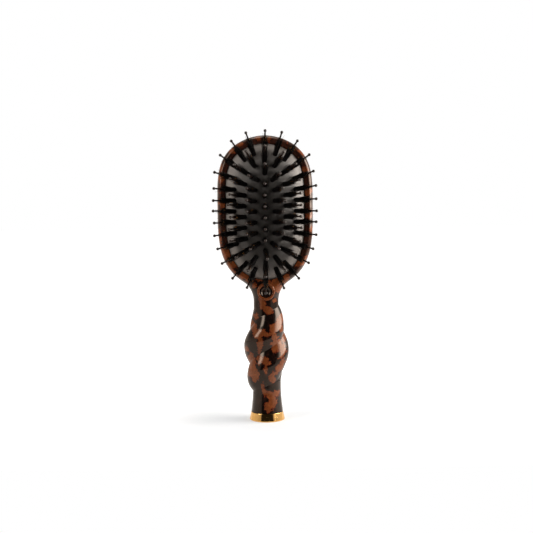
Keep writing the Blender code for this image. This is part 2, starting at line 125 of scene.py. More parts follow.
# Tufts: (ring name, place between edge 0 and crown 1, count, tilt in degrees)
RINGS = (
    ("outer", 0.215, 28, 41.0),
    ("second", 0.475, 22, 29.0),
    ("third", 0.735, 16, 16.0),
)
CENTRE_COUNT = 6
CENTRE_PITCH = 8.4 * MM
CENTRE_TOP_Z = 184.5 * MM
SECTORS = ("upper_right", "lower_right", "lower_left", "upper_left")
PIN_LENGTH = 23.5 * MM
BUNDLE_LENGTH = 15.5 * MM
LONGEST_HAIR = 18.6 * MM
BUNDLE_ROOT_DEPTH = 2.6 * MM
PIN_ROOT_DEPTH = 3.9 * MM
SHOULDER_LEAN = 6.5  # degrees, upwards, of the tufts on the head's shoulders
OWN_LEAN = 1.5  # degrees, spread of each tuft's own lean
WEB_THICKNESS = 0.7 * MM
WEB_WIDTH = 2.6 * MM
SHANK_RADIUS = 0.66 * MM  # of a pin at its foot
SHANK_TIP_RADIUS = 0.60 * MM
HAIR_INNER_RADIUS = 0.72 * MM  # clear of the pin in a bundle's middle
HOLE_RADIUS = 1.9 * MM  # in the cushion, round each tuft
HOLD_RADIUS = 2.8 * MM  # past which the cushion is free to swell
LIP_FRAME_INSET = 9.9 * MM
LIP_FRAME_RADIUS = 1.1 * MM

# Foot
CAP_HEIGHT = 6.4 * MM
CAP_TOP_RADIUS = 12.6 * MM
CAP_FOOT_RADIUS = 13.9 * MM
CAP_WALL = 0.6 * MM
CAP_FLOOR_Z = 3.4 * MM
STUD_RADIUS = 2.5 * MM
STUD_BASE_Z = 1.4 * MM
STUD_TOP_Z = 24.0 * MM

# Larger amber chips that show on the front: middle x and z, half width, half height in mm,
# and how far the chip leans clockwise in degrees. A negative half width is a dark chip.
AMBER_CHIPS = (
    (-2.6, 92.4, 3.0, 5.6, -35), (1.6, 87.0, 3.4, 5.0, -62), (-3.4, 89.2, 2.0, 3.0, -40),
    (6.6, 109.6, 6.0, 6.4, 15), (4.6, 114.8, 6.0, 4.0, 0), (8.6, 104.0, 2.4, 5.0, -25),
    (6.4, 95.0, 1.7, 2.3, 30), (-14.2, 113.2, 6.6, 3.6, 35), (-4.9, 112.0, 3.6, 2.6, 20),
    (-9.2, 106.4, 2.6, 2.6, 20), (-0.6, 107.6, 2.6, 2.0, 0), (11.4, 104.0, 1.8, 8.0, 0),
    (-8.2, 82.6, 2.6, 2.8, 20), (-10.4, 75.2, 3.2, 4.6, -10), (-7.4, 69.6, 3.6, 5.0, -35),
    (-5.0, 61.6, 2.6, 7.6, 8), (-2.4, 70.4, 7.4, 3.0, 18), (2.4, 69.8, 4.6, 2.2, -10),
    (7.6, 73.6, 6.0, 6.6, 25), (11.2, 79.6, 3.0, 5.6, 10), (6.6, 67.4, 3.4, 5.0, 0),
    (8.4, 60.6, 6.0, 5.0, 30), (11.4, 55.8, 4.6, 6.6, 15), (5.6, 57.6, 2.6, 3.0, 0),
    (14.0, 66.0, 2.2, 4.0, 0), (-12.2, 47.6, 4.4, 7.4, 0), (-10.2, 38.6, 4.6, 8.6, -8),
    (-13.6, 42.0, 3.0, 7.0, 0), (-5.4, 49.8, 3.0, 4.4, 10), (-1.8, 49.2, 4.4, 3.6, -30),
    (1.2, 47.0, 2.4, 2.8, -40), (-0.8, 42.4, 1.9, 5.0, -8), (3.8, 36.0, 2.6, 5.2, 0),
    (4.8, 33.2, 2.4, 3.0, 30), (9.8, 42.4, 2.8, 8.8, 38), (12.6, 47.6, 2.4, 4.4, 20),
    (-3.2, 28.2, 1.6, 4.4, 10), (-2.0, 23.0, 1.9, 6.0, -12), (2.6, 20.8, 4.4, 4.6, -30),
    (6.8, 21.6, 4.4, 3.0, -25), (2.2, 14.6, 4.4, 7.4, 8), (5.6, 15.4, 2.6, 5.6, 10),
    (0.6, 11.6, 3.4, 5.4, 0), (-15.4, 57.0, 2.0, 3.0, 0),
    (-5.2, 221.0, 2.4, 3.4, 0), (3.4, 220.4, 1.7, 3.0, 0), (-19.7, 216.7, 3.6, 3.6, 0),
    (-25.0, 211.8, 3.6, 3.2, 45), (-34.8, 200.0, 2.8, 5.8, 0), (-33.6, 190.0, 3.4, 4.6, 0),
    (-35.0, 168.8, 4.6, 6.4, 0), (31.0, 196.4, 4.4, 2.6, 0), (33.0, 180.0, 4.6, 4.8, 0),
    (30.0, 209.4, 2.6, 4.6, -35), (-36.2, 143.0, 2.6, 12.0, -6), (-31.4, 132.4, 5.0, 7.6, -20),
    (-25.8, 122.4, 5.0, 8.0, -35), (-18.4, 115.6, 6.4, 4.6, 40), (33.6, 162.4, 4.2, 4.6, 0),
    (27.6, 125.4, 6.4, 3.6, -40), (15.0, 111.6, 3.6, 5.4, 40), (35.6, 150.0, 2.0, 4.0, 0),
    (-34.0, 181.6, 2.0, 3.4, 0), (17.6, 217.4, 1.2, 1.6, 0), (27.4, 211.0, 1.6, 1.8, 0),
    (7.8, 52.6, -2.8, 3.8, 20), (9.2, 70.0, -1.4, 1.8, 0), (-1.4, 17.6, -2.4, 2.2, 20),
    (3.4, 112.8, -1.0, 3.0, -20), (-23.6, 119.6, -1.4, 2.2, 30), (-35.6, 168.0, -1.0, 1.6, 0),
)

CHIP_OUTSIDE_MM = -2.6  # how far outside a chip the ground is taken to be
CHIP_INSIDE_MM = 4.0

# How finely curves and surfaces are stepped
BODY_HALF_COLUMNS = (42, 14, 42)  # over strand A, the core and strand B, on each half
OUTLINE_POINTS = 200
OVAL_ANGLES = 1441
OVAL_STEPS = 1200
CONTOUR_STEPS = 240
CREASE_STEPS = 2000
SILHOUETTE_ROWS = 1400
DOME_ROWS = 46
HAIR_STATIONS = 3
SWELL_FRAMES = 20

# Camera: where it stands in metres and its angles in degrees
CAMERA_PLACE = (0, -0.700, 0.162)
CAMERA_LENS = 60.23
CAMERA_DOWN = 3.346
CAMERA_ASIDE = -0.051
CAMERA_ROLL = -0.6
FLOOR_RADIUS = 6.0
FLOOR_BEHIND = 5.86  # how far its middle lies behind the brush


# ---- settings ----


COLOUR = {"subtype": "COLOR", "min": 0.0, "max": 1.0}
LENGTH = {"subtype": "DISTANCE", "unit": "LENGTH"}


class BodySettings(bpy.types.PropertyGroup):
    amber: bpy.props.FloatVectorProperty(
        name="Amber", description="Colour of the light chips in the acetate",
        default=(0.20, 0.056, 0.018), **COLOUR,
    )
    red_edge: bpy.props.FloatVectorProperty(
        name="Chip edge", description="Colour where a dark chip thins out over amber",
        default=(0.10, 0.015, 0.006), **COLOUR,
    )
    dark: bpy.props.FloatVectorProperty(
        name="Dark", description="Colour of the dark chips in the acetate",
        default=(0.0055, 0.0030, 0.0027), **COLOUR,
    )
    chip_size: bpy.props.FloatProperty(
        name="Chip size", description="Usual width of a chip",
        default=11.0 * MM, min=2.0 * MM, max=40.0 * MM, **LENGTH,
    )
    edge_round: bpy.props.FloatProperty(
        name="Opening edge", description="Radius of the rounded edge round the cushion",
        default=0.35 * MM, min=0.05 * MM, max=1.0 * MM, **LENGTH,
    )


class FootSettings(bpy.types.PropertyGroup):
    gilt: bpy.props.FloatVectorProperty(
        name="Gilt", description="Colour of the plated foot cap",
        default=(0.90, 0.56, 0.20), **COLOUR,
    )
    lip_round: bpy.props.FloatProperty(
        name="Lip rounding", description="Radius of the cap's upper and lower edges",
        default=0.7 * MM, min=0.1 * MM, max=1.5 * MM, **LENGTH,
    )
    thread_pitch: bpy.props.FloatProperty(
        name="Thread pitch", description="Distance between the stud's thread crests",
        default=0.8 * MM, min=0.4 * MM, max=2.0 * MM, **LENGTH,
    )


class CushionSettings(bpy.types.PropertyGroup):
    cloth: bpy.props.FloatVectorProperty(
        name="Cloth", description="Colour of the woven face of the cushion",
        default=(0.0085, 0.0078, 0.0073), **COLOUR,
    )
    # Painted sheen: the colour that paints the cushion's low sides lighter, where the side lights
    # catch them.
    painted_sheen: bpy.props.FloatVectorProperty(
        name="Painted_Sheen", description="Colour of the pale bloom low on the cushion's sides",
        default=(0.14, 0.13, 0.123), **COLOUR,
    )
    thread: bpy.props.FloatProperty(
        name="Thread", description="Width of one thread of the weave",
        default=0.60 * MM, min=0.1 * MM, max=2.0 * MM, **LENGTH,
    )
    swell: bpy.props.FloatProperty(
        name="Swell", description="Most that the membrane swells between tufts",
        default=0.7 * MM, min=0.0, max=2.0 * MM, **LENGTH,
    )


class TuftSettings(bpy.types.PropertyGroup):
    hairs: bpy.props.IntProperty(
        name="Hairs", description="Bristles in one bundle", default=112, min=20, max=200,
    )
    strays: bpy.props.FloatProperty(
        name="Strays", description="Share of bristles that splay out of their bundle",
        default=0.32, min=0.0, max=1.0, subtype="FACTOR",
    )
    bundle_radius: bpy.props.FloatProperty(
        name="Bundle radius", description="Radius of a bundle at the cushion",
        default=1.62 * MM, min=0.5 * MM, max=2.0 * MM, **LENGTH,
    )
    ball_radius: bpy.props.FloatProperty(
        name="Ball radius", description="Radius of the ball at a pin's tip",
        default=1.15 * MM, min=0.5 * MM, max=1.5 * MM, **LENGTH,
    )
    seed: bpy.props.IntProperty(name="Seed", description="Seed of the bristles' lie", default=7)


class StageSettings(bpy.types.PropertyGroup):
    key_power: bpy.props.FloatProperty(
        name="Key light", description="Power of the large soft light on the right",
        default=11.5, min=0.0, unit="POWER",
    )
    fill_power: bpy.props.FloatProperty(
        name="Fill light", description="Power of the soft light on the left",
        default=5.5, min=0.0, unit="POWER",
    )
    top_power: bpy.props.FloatProperty(
        name="Top light", description="Power of the soft light overhead",
        default=3.0, min=0.0, unit="POWER",
    )
    floor: bpy.props.FloatVectorProperty(
        name="Floor", description="Colour of the floor",
        default=(0.50, 0.53, 0.56), **COLOUR,
    )


# ---- curves and outlines ----


def smooth_step(value, low, high):
    share = np.clip((value - low) / (high - low), 0.0, 1.0)
    return share * share * (3 - 2 * share)


def through(points_mm, value):
    """A smooth curve through (place, size) points, level past its ends."""
    places, sizes = np.array(points_mm, float).T * MM
    slopes = np.gradient(sizes, places)
    value = np.clip(value, places[0], places[-1])
    i = np.clip(np.searchsorted(places, value) - 1, 0, len(places) - 2)
    step = places[i + 1] - places[i]
    t = (value - places[i]) / step
    return (
        (2 * t**3 - 3 * t**2 + 1) * sizes[i]
        + (t**3 - 2 * t**2 + t) * step * slopes[i]
        + (3 * t**2 - 2 * t**3) * sizes[i + 1]
        + (t**3 - t**2) * step * slopes[i + 1]
    )


def egg_half_width(z):
    rise = np.where(z > HEAD_MIDDLE_Z, HEAD_RISE, HEAD_DROP)
    share = np.minimum(np.abs(z - HEAD_MIDDLE_Z) / rise, 1.0)
    return HEAD_HALF_WIDTH * (1 - share**HEIGHT_POWER) ** (1 / WIDTH_POWER)


def half_width(z):
    """Half the body's width above the neck: a hollow fillet, then the head's oval."""
    out = egg_half_width(FLARE_END_Z) - NECK_RADIUS
    up = FLARE_END_Z - NECK_Z
    radius = (up * up + out * out) / (2 * out)
    along = np.clip(z - NECK_Z, 0.0, up)
    fillet = NECK_RADIUS + radius - np.sqrt(radius * radius - along * along)
    return np.where(z >= FLARE_END_Z, egg_half_width(z), fillet)


def evenly(points, count):
    """Points at equal steps round a closed outline, from its first point."""
    loop = np.vstack([points, points[:1]])
    lengths = np.concatenate([[0], np.cumsum(np.linalg.norm(np.diff(loop, axis=0), axis=1))])
    wanted = np.linspace(0, lengths[-1], count, endpoint=False)
    return np.column_stack([np.interp(wanted, lengths, loop[:, i]) for i in (0, 1)])


def level_row(outline, y):
    """An (x, z) outline as points at one depth."""
    return np.column_stack([outline[:, 0], np.full(len(outline), y), outline[:, 1]])


def round_row(radius, angle, z):
    """Points at one height, a radius from the axis, for angles from the front."""
    x, y = radius * np.sin(angle), -radius * np.cos(angle)
    return np.column_stack([x, y, np.full_like(angle, z)])


def egg_outline(inset, count):
    """The head's oval moved in by inset: (x, z) points from the top, clockwise."""
    turn = np.linspace(0, math.pi, OVAL_ANGLES)
    rise = np.where(np.cos(turn) > 0, HEAD_RISE, HEAD_DROP)
    height = np.sign(np.cos(turn)) * np.abs(np.cos(turn)) ** (2 / HEIGHT_POWER)
    right = np.column_stack([
        HEAD_HALF_WIDTH * np.abs(np.sin(turn)) ** (2 / WIDTH_POWER),
        HEAD_MIDDLE_Z + rise * height,
    ])
    left = right[-2:0:-1] * (-1, 1)
    loop = evenly(np.vstack([right, left]), OVAL_STEPS)
    along = np.roll(loop, -1, axis=0) - np.roll(loop, 1, axis=0)
    along /= np.linalg.norm(along, axis=1)[:, None]
    inward = np.column_stack([along[:, 1], -along[:, 0]])
    return evenly(loop + inward * inset, count)


def pad_ring(share, count):
    """The cushion's contour a share of the way from its edge to its crown, as (x, z)."""
    edge = egg_outline(OPENING_INSET + GAP, count)
    middle = (edge[:, 1].max() + edge[:, 1].min()) / 2
    height_share = 1 - share * (1 - CORE_SHARE)
    return np.column_stack([
        edge[:, 0] * (1 - share), middle + (edge[:, 1] - middle) * height_share,
    ])


def pad_height(share):
    return PAD_HEIGHT * (1 - (1 - share) ** PAD_POWER) ** PAD_SHOULDER


def pad_drop(share):
    """How far the cushion's inner face lies behind its outer one, along Y."""
    step = 0.01
    low = max(share - step, 0.0)
    high = min(share + step, 1.0)
    rise = pad_height(high) - pad_height(low)
    slope = rise / ((high - low) * (HEAD_HALF_WIDTH - OPENING_INSET))
    return PAD_THICKNESS * math.sqrt(1 + slope * slope)


# ---- body surface ----


def core_radius(z):
    flare = np.maximum(0.0, (COLUMN_FLARE_Z - z) / (COLUMN_FLARE_Z - CAP_HEIGHT))
    column = COLUMN_RADIUS + (COLUMN_BASE_RADIUS - COLUMN_RADIUS) * flare**1.5
    return column + (NECK_RADIUS - COLUMN_RADIUS) * smooth_step(z, COLUMN_TOP_Z, NECK_Z)


def strand_radius(turn, reach):
    """Distance from the axis to an offset circle, at an angle from the circle's crown."""
    radius = reach / (1 + STRAND_OFFSET)
    offset = reach - radius
    return offset * np.cos(turn) + np.sqrt(radius**2 - (offset * np.sin(turn)) ** 2)


def crown_angle(z):
    return 2 * math.pi * (min(z, NECK_Z) - STRAND_A_FRONT_Z) / TWIST_LEAD


def column_turns(z):
    """Angles from strand A's crown to its back, closer together so that one column
    runs along each crease between the strands and the core."""
    fine = np.linspace(0, math.pi, CREASE_STEPS)
    core = core_radius(z)
    reach_a = through(STRAND_A_REACH_MM, z)
    reach_b = through(STRAND_B_REACH_MM, z)
    strand_a = strand_radius(fine, reach_a)
    strand_b = strand_radius(fine - math.pi, reach_b)
    over_a = fine[strand_a >= np.maximum(strand_b, core)]
    over_b = fine[strand_b >= np.maximum(strand_a, core)]
    crease_a = over_a[-1] if len(over_a) else 0.0
    crease_b = over_b[0] if len(over_b) else math.pi
    shares = np.cumsum(BODY_HALF_COLUMNS) / sum(BODY_HALF_COLUMNS) * math.pi
    hold_a = smooth_step(reach_a / core, 1.0, 1.03)
    hold_b = smooth_step(reach_b / core, 1.0, 1.03)
    first = shares[0] + (crease_a - shares[0]) * hold_a
    second = max(first, shares[1] + (crease_b - shares[1]) * hold_b)
    knots = (0.0, first, second, math.pi)
    parts = [
        np.linspace(low, high, count, endpoint=False)
        for low, high, count in zip(knots, knots[1:], BODY_HALF_COLUMNS)
    ]
    half = np.concatenate(parts)
    return np.concatenate([half, 2 * math.pi - np.append(half[1:], math.pi)[::-1]])


def handle_row(z):
    turns = column_turns(z)
    radius = np.maximum.reduce([
        np.full_like(turns, core_radius(z)),
        strand_radius(turns, through(STRAND_A_REACH_MM, z)),
        strand_radius(turns - math.pi, through(STRAND_B_REACH_MM, z)),
    ])
    return round_row(radius, turns + crown_angle(z), z)


def head_silhouette():
    top = HEAD_MIDDLE_Z + HEAD_RISE
    fall = 1 - np.cos(np.linspace(0, math.pi / 2, SILHOUETTE_ROWS))
    heights = top - (top - NECK_Z + 20 * MM) * fall
    return np.column_stack([half_width(heights), heights])


SILHOUETTE = head_silhouette()


def head_surface(angle, z):
    """Points of the head's or neck's skin at a height, for angles from the front."""
    width = half_width(z)
    x = width * np.sin(angle)
    aside = np.abs(x)[:, None] - SILHOUETTE[:, 0]
    to_edge = np.hypot(aside, z - SILHOUETTE[:, 1]).min(axis=1)
    up = smooth_step(z, NECK_Z, FACE_START_Z)
    end = max(0.0, (z - HEAD_MIDDLE_Z) / HEAD_RISE) ** HEIGHT_POWER
    front_depth = NECK_RADIUS + (FACE_DEPTH - NECK_RADIUS) * up
    rounding = NECK_RADIUS + (FACE_ROUNDING - NECK_RADIUS) * up
    share = np.minimum(to_edge / rounding, 1.0)
    front = -front_depth * np.sqrt(1 - (1 - share) ** 2)
    back_depth = NECK_RADIUS + (BACK_DEPTH - NECK_RADIUS) * up
    power = 2 + (WIDTH_POWER - 2) * up
    level = (1 - end) * (1 - np.abs(np.sin(angle)) ** power)
    back = back_depth * np.sqrt(np.maximum(0.0, level))
    y = np.where(np.cos(angle) > 0, front, back)
    return np.column_stack([x, y, np.full_like(x, z)])


def body_rows():
    """Heights of the rows of the body's skin, closer together where it curves."""
    column = np.linspace(CAP_HEIGHT + GAP, 20 * MM, 20, endpoint=False)
    twist = np.linspace(20 * MM, NECK_Z, 190, endpoint=False)
    flare = np.linspace(NECK_Z, 124 * MM, 60, endpoint=False)
    sides = np.linspace(124 * MM, HEAD_MIDDLE_Z, 44, endpoint=False)
    crown = HEAD_MIDDLE_Z + HEAD_RISE * np.sin(np.linspace(0, math.pi / 2, 90))
    return np.concatenate([column, twist, flare, sides, crown])


# ---- mesh helpers ----


def rolled_sheet(points, capped=False):
    """A grid whose rows are set to the given rows of points and rolled into a tube."""
    rows, columns = points.shape[0] - 1, points.shape[1]
    bm = bmesh.new()
    bmesh.ops.create_grid(bm, x_segments=columns, y_segments=rows, size=1.0)
    for vert in bm.verts:
        column = round((vert.co.x + 1) / 2 * columns) % columns
        vert.co = points[round((vert.co.y + 1) / 2 * rows), column]
    bmesh.ops.remove_doubles(bm, verts=bm.verts, dist=0.002 * MM)
    if capped:
        bmesh.ops.holes_fill(bm, edges=[e for e in bm.edges if e.is_boundary], sides=0)
    return bm


def turned(profile, sides):
    """A solid of revolution about +Z from (radius, height) points."""
    bm = bmesh.new()
    verts = [bm.verts.new((radius, 0, height)) for radius, height in profile]
    edges = [bm.edges.new(pair) for pair in zip(verts, verts[1:])]
    bmesh.ops.spin(
        bm, geom=verts + edges, axis=(0, 0, 1), cent=(0, 0, 0),
        angle=2 * math.pi, steps=sides, use_merge=True,
    )
    bmesh.ops.remove_doubles(bm, verts=bm.verts, dist=0.002 * MM)
    bmesh.ops.recalc_face_normals(bm, faces=bm.faces)
    return bm


def placed_copies(template, matrices):
    """One bmesh that holds a copy of the template at each matrix. The template is used up."""
    mesh = bpy.data.meshes.new("template")
    template.to_mesh(mesh)
    template.free()
    bm = bmesh.new()
    for matrix in matrices:
        first = len(bm.verts)
        bm.from_mesh(mesh)
        bm.verts.ensure_lookup_table()
        bmesh.ops.transform(bm, matrix=matrix, verts=bm.verts[first:])
    bpy.data.meshes.remove(mesh)
    return bm


def join(bm, other):
    """Adds the other bmesh's surface to the first. The other is used up."""
    mesh = bpy.data.meshes.new("joined")
    other.to_mesh(mesh)
    other.free()
    bm.from_mesh(mesh)
    bpy.data.meshes.remove(mesh)


def add_piece(name, bm, finish=None, sharp_degrees=35.0):
    bmesh.ops.recalc_face_normals(bm, faces=bm.faces)
    mesh = bpy.data.meshes.new(name)
    bm.to_mesh(mesh)
    bm.free()
    mesh.shade_smooth()
    mesh.set_sharp_from_angle(angle=math.radians(sharp_degrees))
    obj = bpy.data.objects.new(name, mesh)
    bpy.context.scene.collection.objects.link(obj)
    if finish:
        mesh.materials.append(finish)
    return obj


def boolean(obj, operation, *others):
    """Joins or cuts each of the other objects, in turn, and removes them."""
    for other in others:
        modifier = obj.modifiers.new(operation.title(), "BOOLEAN")
        modifier.operation = operation
        modifier.solver = "EXACT"
        modifier.object = other
    settle(obj)
    for other in others:
        bpy.data.objects.remove(other, do_unlink=True)


def settle(obj):
    """Makes what the object's modifiers do its own mesh."""
    bpy.context.view_layer.update()
    graph = bpy.context.evaluated_depsgraph_get()
    mesh = bpy.data.meshes.new_from_object(obj.evaluated_get(graph))
    obj.modifiers.clear()
    obj.data = mesh


def coordinates(mesh):
    flat = np.empty(len(mesh.vertices) * 3, np.float32)
    mesh.vertices.foreach_get("co", flat)
    return flat.reshape(-1, 3).astype(float)


def set_coordinates(mesh, points):
    mesh.vertices.foreach_set("co", np.asarray(points, np.float32).ravel())
    mesh.update()


def hand_over(obj, body, slot, *nodes):
    """Gives a finished piece its body and the frame nodes it stands for. The finish slot is not
    used.
    """
    for node in nodes:
        low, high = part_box(node)
        points = coordinates(obj.data)
        off = max(np.abs(points.min(0) - low).max(), np.abs(points.max(0) - high).max())
        if len(nodes) == 1 and off > 4 * MM:
            raise RuntimeError(f"{obj.name} is {off / MM:.1f} mm off {node}")
    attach(obj, body)
    if nodes:
        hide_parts(*nodes)


# ---- shader helpers ----


def feed(tree, socket, value):
    if isinstance(value, bpy.types.NodeSocket):
        tree.links.new(value, socket)
    elif isinstance(value, tuple) and socket.type == "RGBA" and len(value) == 3:
        socket.default_value = (*value, 1.0)
    else:
        socket.default_value = value


def add_node(tree, kind, inputs=None, **settings):
    made = tree.nodes.new(kind)
    for name, value in settings.items():
        setattr(made, name, value)
    for name, value in (inputs or {}).items():
        feed(tree, made.inputs[name], value)
    return made


def maths(tree, operation, a, b=0.0):
    return add_node(tree, "ShaderNodeMath", {0: a, 1: b}, operation=operation).outputs[0]


def vector_maths(tree, operation, a, b=None, scale=None):
    made = add_node(tree, "ShaderNodeVectorMath", {0: a}, operation=operation)
    if b is not None:
        feed(tree, made.inputs[1], b)
    if scale is not None:
        feed(tree, made.inputs["Scale"], scale)
    return made.outputs[0]


def vector_length(tree, vector):
    made = add_node(tree, "ShaderNodeVectorMath", {0: vector}, operation="LENGTH")
    return made.outputs["Value"]


def noise(tree, vector, scale, detail=2.0, roughness=0.5):
    return add_node(tree, "ShaderNodeTexNoise", {
        "Vector": vector, "Scale": scale, "Detail": detail, "Roughness": roughness,
    })


def ramp(tree, value, low, high, to_low=0.0, to_high=1.0):
    """A smooth step from one level to another."""
    return add_node(tree, "ShaderNodeMapRange", {
        "Value": value, "From Min": low, "From Max": high, "To Min": to_low, "To Max": to_high,
    }, interpolation_type="SMOOTHSTEP").outputs["Result"]


def blend_colour(tree, share, first, second):
    return add_node(
        tree, "ShaderNodeMix", {0: share, 6: first, 7: second}, data_type="RGBA",
    ).outputs[2]


def blend_value(tree, share, first, second):
    return add_node(
        tree, "ShaderNodeMix", {0: share, 2: first, 3: second}, data_type="FLOAT",
    ).outputs[0]


def lighter(colour, share, lift=0.0):
    return tuple(min(share * c + lift, 1.0) for c in colour)


def colour_of(tree, shader, share, first, second):
    feed(tree, shader.inputs["Base Color"], blend_colour(tree, share, first, second))


def new_material(name):
    """(material, its tree, its shader, its millimetre coordinates)"""
    made = bpy.data.materials.new(name)
    made.use_nodes = True
    tree = made.node_tree
    shader = tree.nodes["Principled BSDF"]
    place = add_node(tree, "ShaderNodeTexCoord").outputs["Object"]
    return made, tree, shader, vector_maths(tree, "SCALE", place, scale=1000.0)


def bump(tree, shader, height, strength, distance=0.1 * MM):
    made = add_node(tree, "ShaderNodeBump", {
        "Height": height, "Strength": strength, "Distance": distance,
    })
    feed(tree, shader.inputs["Normal"], made.outputs["Normal"])


def handling_marks():
    """A group that gives smudges and fine scratches from use, shared by the glossy finishes."""
    found = bpy.data.node_groups.get("Handling Marks")
    if found:
        return found
    group = bpy.data.node_groups.new("Handling Marks", "ShaderNodeTree")
    for name, kind, direction in (
        ("Vector", "NodeSocketVector", "INPUT"), ("Smudge Size", "NodeSocketFloat", "INPUT"),
        ("Scratch Size", "NodeSocketFloat", "INPUT"),
        ("Smudge", "NodeSocketFloat", "OUTPUT"), ("Scratch", "NodeSocketFloat", "OUTPUT"),
    ):
        group.interface.new_socket(name, in_out=direction, socket_type=kind)
    entry = group.nodes.new("NodeGroupInput")
    result = group.nodes.new("NodeGroupOutput")
    place = entry.outputs["Vector"]
    smudge_scale = maths(group, "DIVIDE", 1.0, entry.outputs["Smudge Size"])
    smudge = noise(group, place, smudge_scale, 4.0, 0.6).outputs[0]
    feed(group, result.inputs["Smudge"], ramp(group, smudge, 0.45, 0.7))
    scratch_scale = maths(group, "DIVIDE", 1.0, entry.outputs["Scratch Size"])
    strokes = None
    for turn in (0.3, 1.7, 2.6):
        turned_place = add_node(group, "ShaderNodeMapping", {
            "Vector": place, "Rotation": (turn, turn * 0.7, turn * 1.3), "Scale": (0.06, 1.0, 0.5),
        }).outputs[0]
        streak = noise(group, turned_place, scratch_scale, 1.0, 0.5).outputs[0]
        thin = ramp(group, streak, 0.66, 0.72)
        strokes = thin if strokes is None else maths(group, "MAXIMUM", strokes, thin)
    feed(group, result.inputs["Scratch"], strokes)
    return group


def marks(tree, place, smudge_mm, scratch_mm):
    made = add_node(tree, "ShaderNodeGroup", node_tree=handling_marks())
    feed(tree, made.inputs["Vector"], place)
    made.inputs["Smudge Size"].default_value = smudge_mm
    made.inputs["Scratch Size"].default_value = scratch_mm
    return made.outputs["Smudge"], made.outputs["Scratch"]


# ---- finishes ----


def acetate_finish(settings):
    """Polished tortoiseshell: amber chips with red edges in a near-black ground."""
    made, tree, shader, place = new_material("Tortoiseshell Acetate")
    warp = noise(tree, place, 0.20, 3.0, 0.6).outputs["Color"]
    centred = vector_maths(tree, "SUBTRACT", warp, (0.5, 0.5, 0.5))
    pushed = vector_maths(tree, "ADD", place, vector_maths(tree, "SCALE", centred, scale=9.0))
    squat = vector_maths(tree, "MULTIPLY", pushed, (1.0, 1.0, 0.72))
    chips = noise(tree, squat, MM / settings.chip_size, 1.6, 0.5).outputs[0]
    loose = maths(tree, "MULTIPLY", maths(tree, "SUBTRACT", chips, 0.57), 30.0)
    lean = add_node(tree, "ShaderNodeAttribute", attribute_name="amber_lean").outputs["Fac"]
    front = add_node(tree, "ShaderNodeAttribute", attribute_name="front_side").outputs["Fac"]
    shards = add_node(tree, "ShaderNodeTexVoronoi", {
        "Vector": pushed, "Scale": 0.34, "Randomness": 1.0,
    }, distance="MANHATTAN").outputs["Distance"]
    ragged = maths(tree, "MULTIPLY", maths(tree, "SUBTRACT", shards, 0.85), 1.8)
    grit = noise(tree, place, 0.7, 2.0, 0.5).outputs[0]
    fray = maths(tree, "MULTIPLY", maths(tree, "SUBTRACT", grit, 0.5), 1.2)
    placed = maths(tree, "ADD", maths(tree, "ADD", lean, ragged), fray)
    field = blend_value(tree, front, loose, placed)
    edge = ramp(tree, field, -0.18, 0.12)
    heart = ramp(tree, field, 0.1, 0.75)
    haze = noise(tree, place, 0.22, 3.0, 0.6).outputs[0]
    mahogany = blend_colour(
        tree, ramp(tree, haze, 0.50, 0.75), settings.dark[:], (0.022, 0.0085, 0.0065),
    )
    streak_place = vector_maths(tree, "MULTIPLY", pushed, (1.6, 1.6, 0.25))
    streaks = noise(tree, streak_place, 0.9, 3.0, 0.6).outputs[0]
    amber = blend_colour(
        tree, ramp(tree, streaks, 0.3, 0.75), lighter(settings.amber, 0.6), settings.amber[:],
    )
    pale = blend_colour(tree, ramp(tree, haze, 0.5, 0.8), amber, lighter(settings.amber, 1.3))
    rise = add_node(tree, "ShaderNodeSeparateXYZ", {"Vector": place}).outputs["Z"]
    cloud = ramp(tree, haze, 0.25, 0.7, 0.25, 1.0)
    thin = maths(tree, "MULTIPLY", ramp(tree, rise, 106.0, 124.0), cloud)
    brown = blend_colour(tree, thin, mahogany, (0.040, 0.0135, 0.0085))
    colour = blend_colour(tree, edge, brown, settings.red_edge[:])
    colour_of(tree, shader, heart, colour, pale)
    smudge, scratch = marks(tree, place, 18.0, 0.8)
    rough = add_node(
        tree, "ShaderNodeMath", {0: smudge, 1: 0.03, 2: 0.10}, operation="MULTIPLY_ADD",
    ).outputs[0]
    worn = maths(tree, "ADD", rough, maths(tree, "MULTIPLY", scratch, 0.05))
    feed(tree, shader.inputs["Roughness"], worn)
    shader.inputs["IOR"].default_value = 1.49
    shader.inputs["Specular IOR Level"].default_value = 0.42
    shader.inputs["Specular Tint"].default_value = (1.0, 0.84, 0.72, 1.0)
    ripple = noise(tree, place, 0.11, 2.0, 0.5).outputs[0]
    height = maths(tree, "SUBTRACT", ripple, maths(tree, "MULTIPLY", scratch, 0.01))
    bump(tree, shader, height, 0.12, 0.35 * MM)
    return made


def gilt_finish(settings):
    """Polished gold plate with faint polishing lines round the cap."""
    made, tree, shader, place = new_material("Gilt Brass")
    smudge, scratch = marks(tree, place, 7.0, 0.5)
    parts = add_node(tree, "ShaderNodeSeparateXYZ", {"Vector": place})
    level = add_node(tree, "ShaderNodeCombineXYZ", {"Z": parts.outputs["Z"]}).outputs[0]
    lines = noise(tree, level, 9.0, 2.0, 0.7).outputs[0]
    colour_of(tree, shader, smudge, settings.gilt[:], lighter(settings.gilt, 1.05, 0.03))
    shader.inputs["Metallic"].default_value = 1.0
    scored = maths(tree, "MULTIPLY", scratch, 0.08)
    rough = maths(tree, "ADD", maths(tree, "MULTIPLY", smudge, 0.06), scored)
    feed(tree, shader.inputs["Roughness"], maths(tree, "ADD", rough, 0.07))
    ripple = noise(tree, place, 0.22, 2.0, 0.6).outputs[0]
    height = maths(tree, "ADD", ripple, maths(tree, "MULTIPLY", lines, 0.03))
    bump(tree, shader, height, 0.10, 0.3 * MM)
    return made


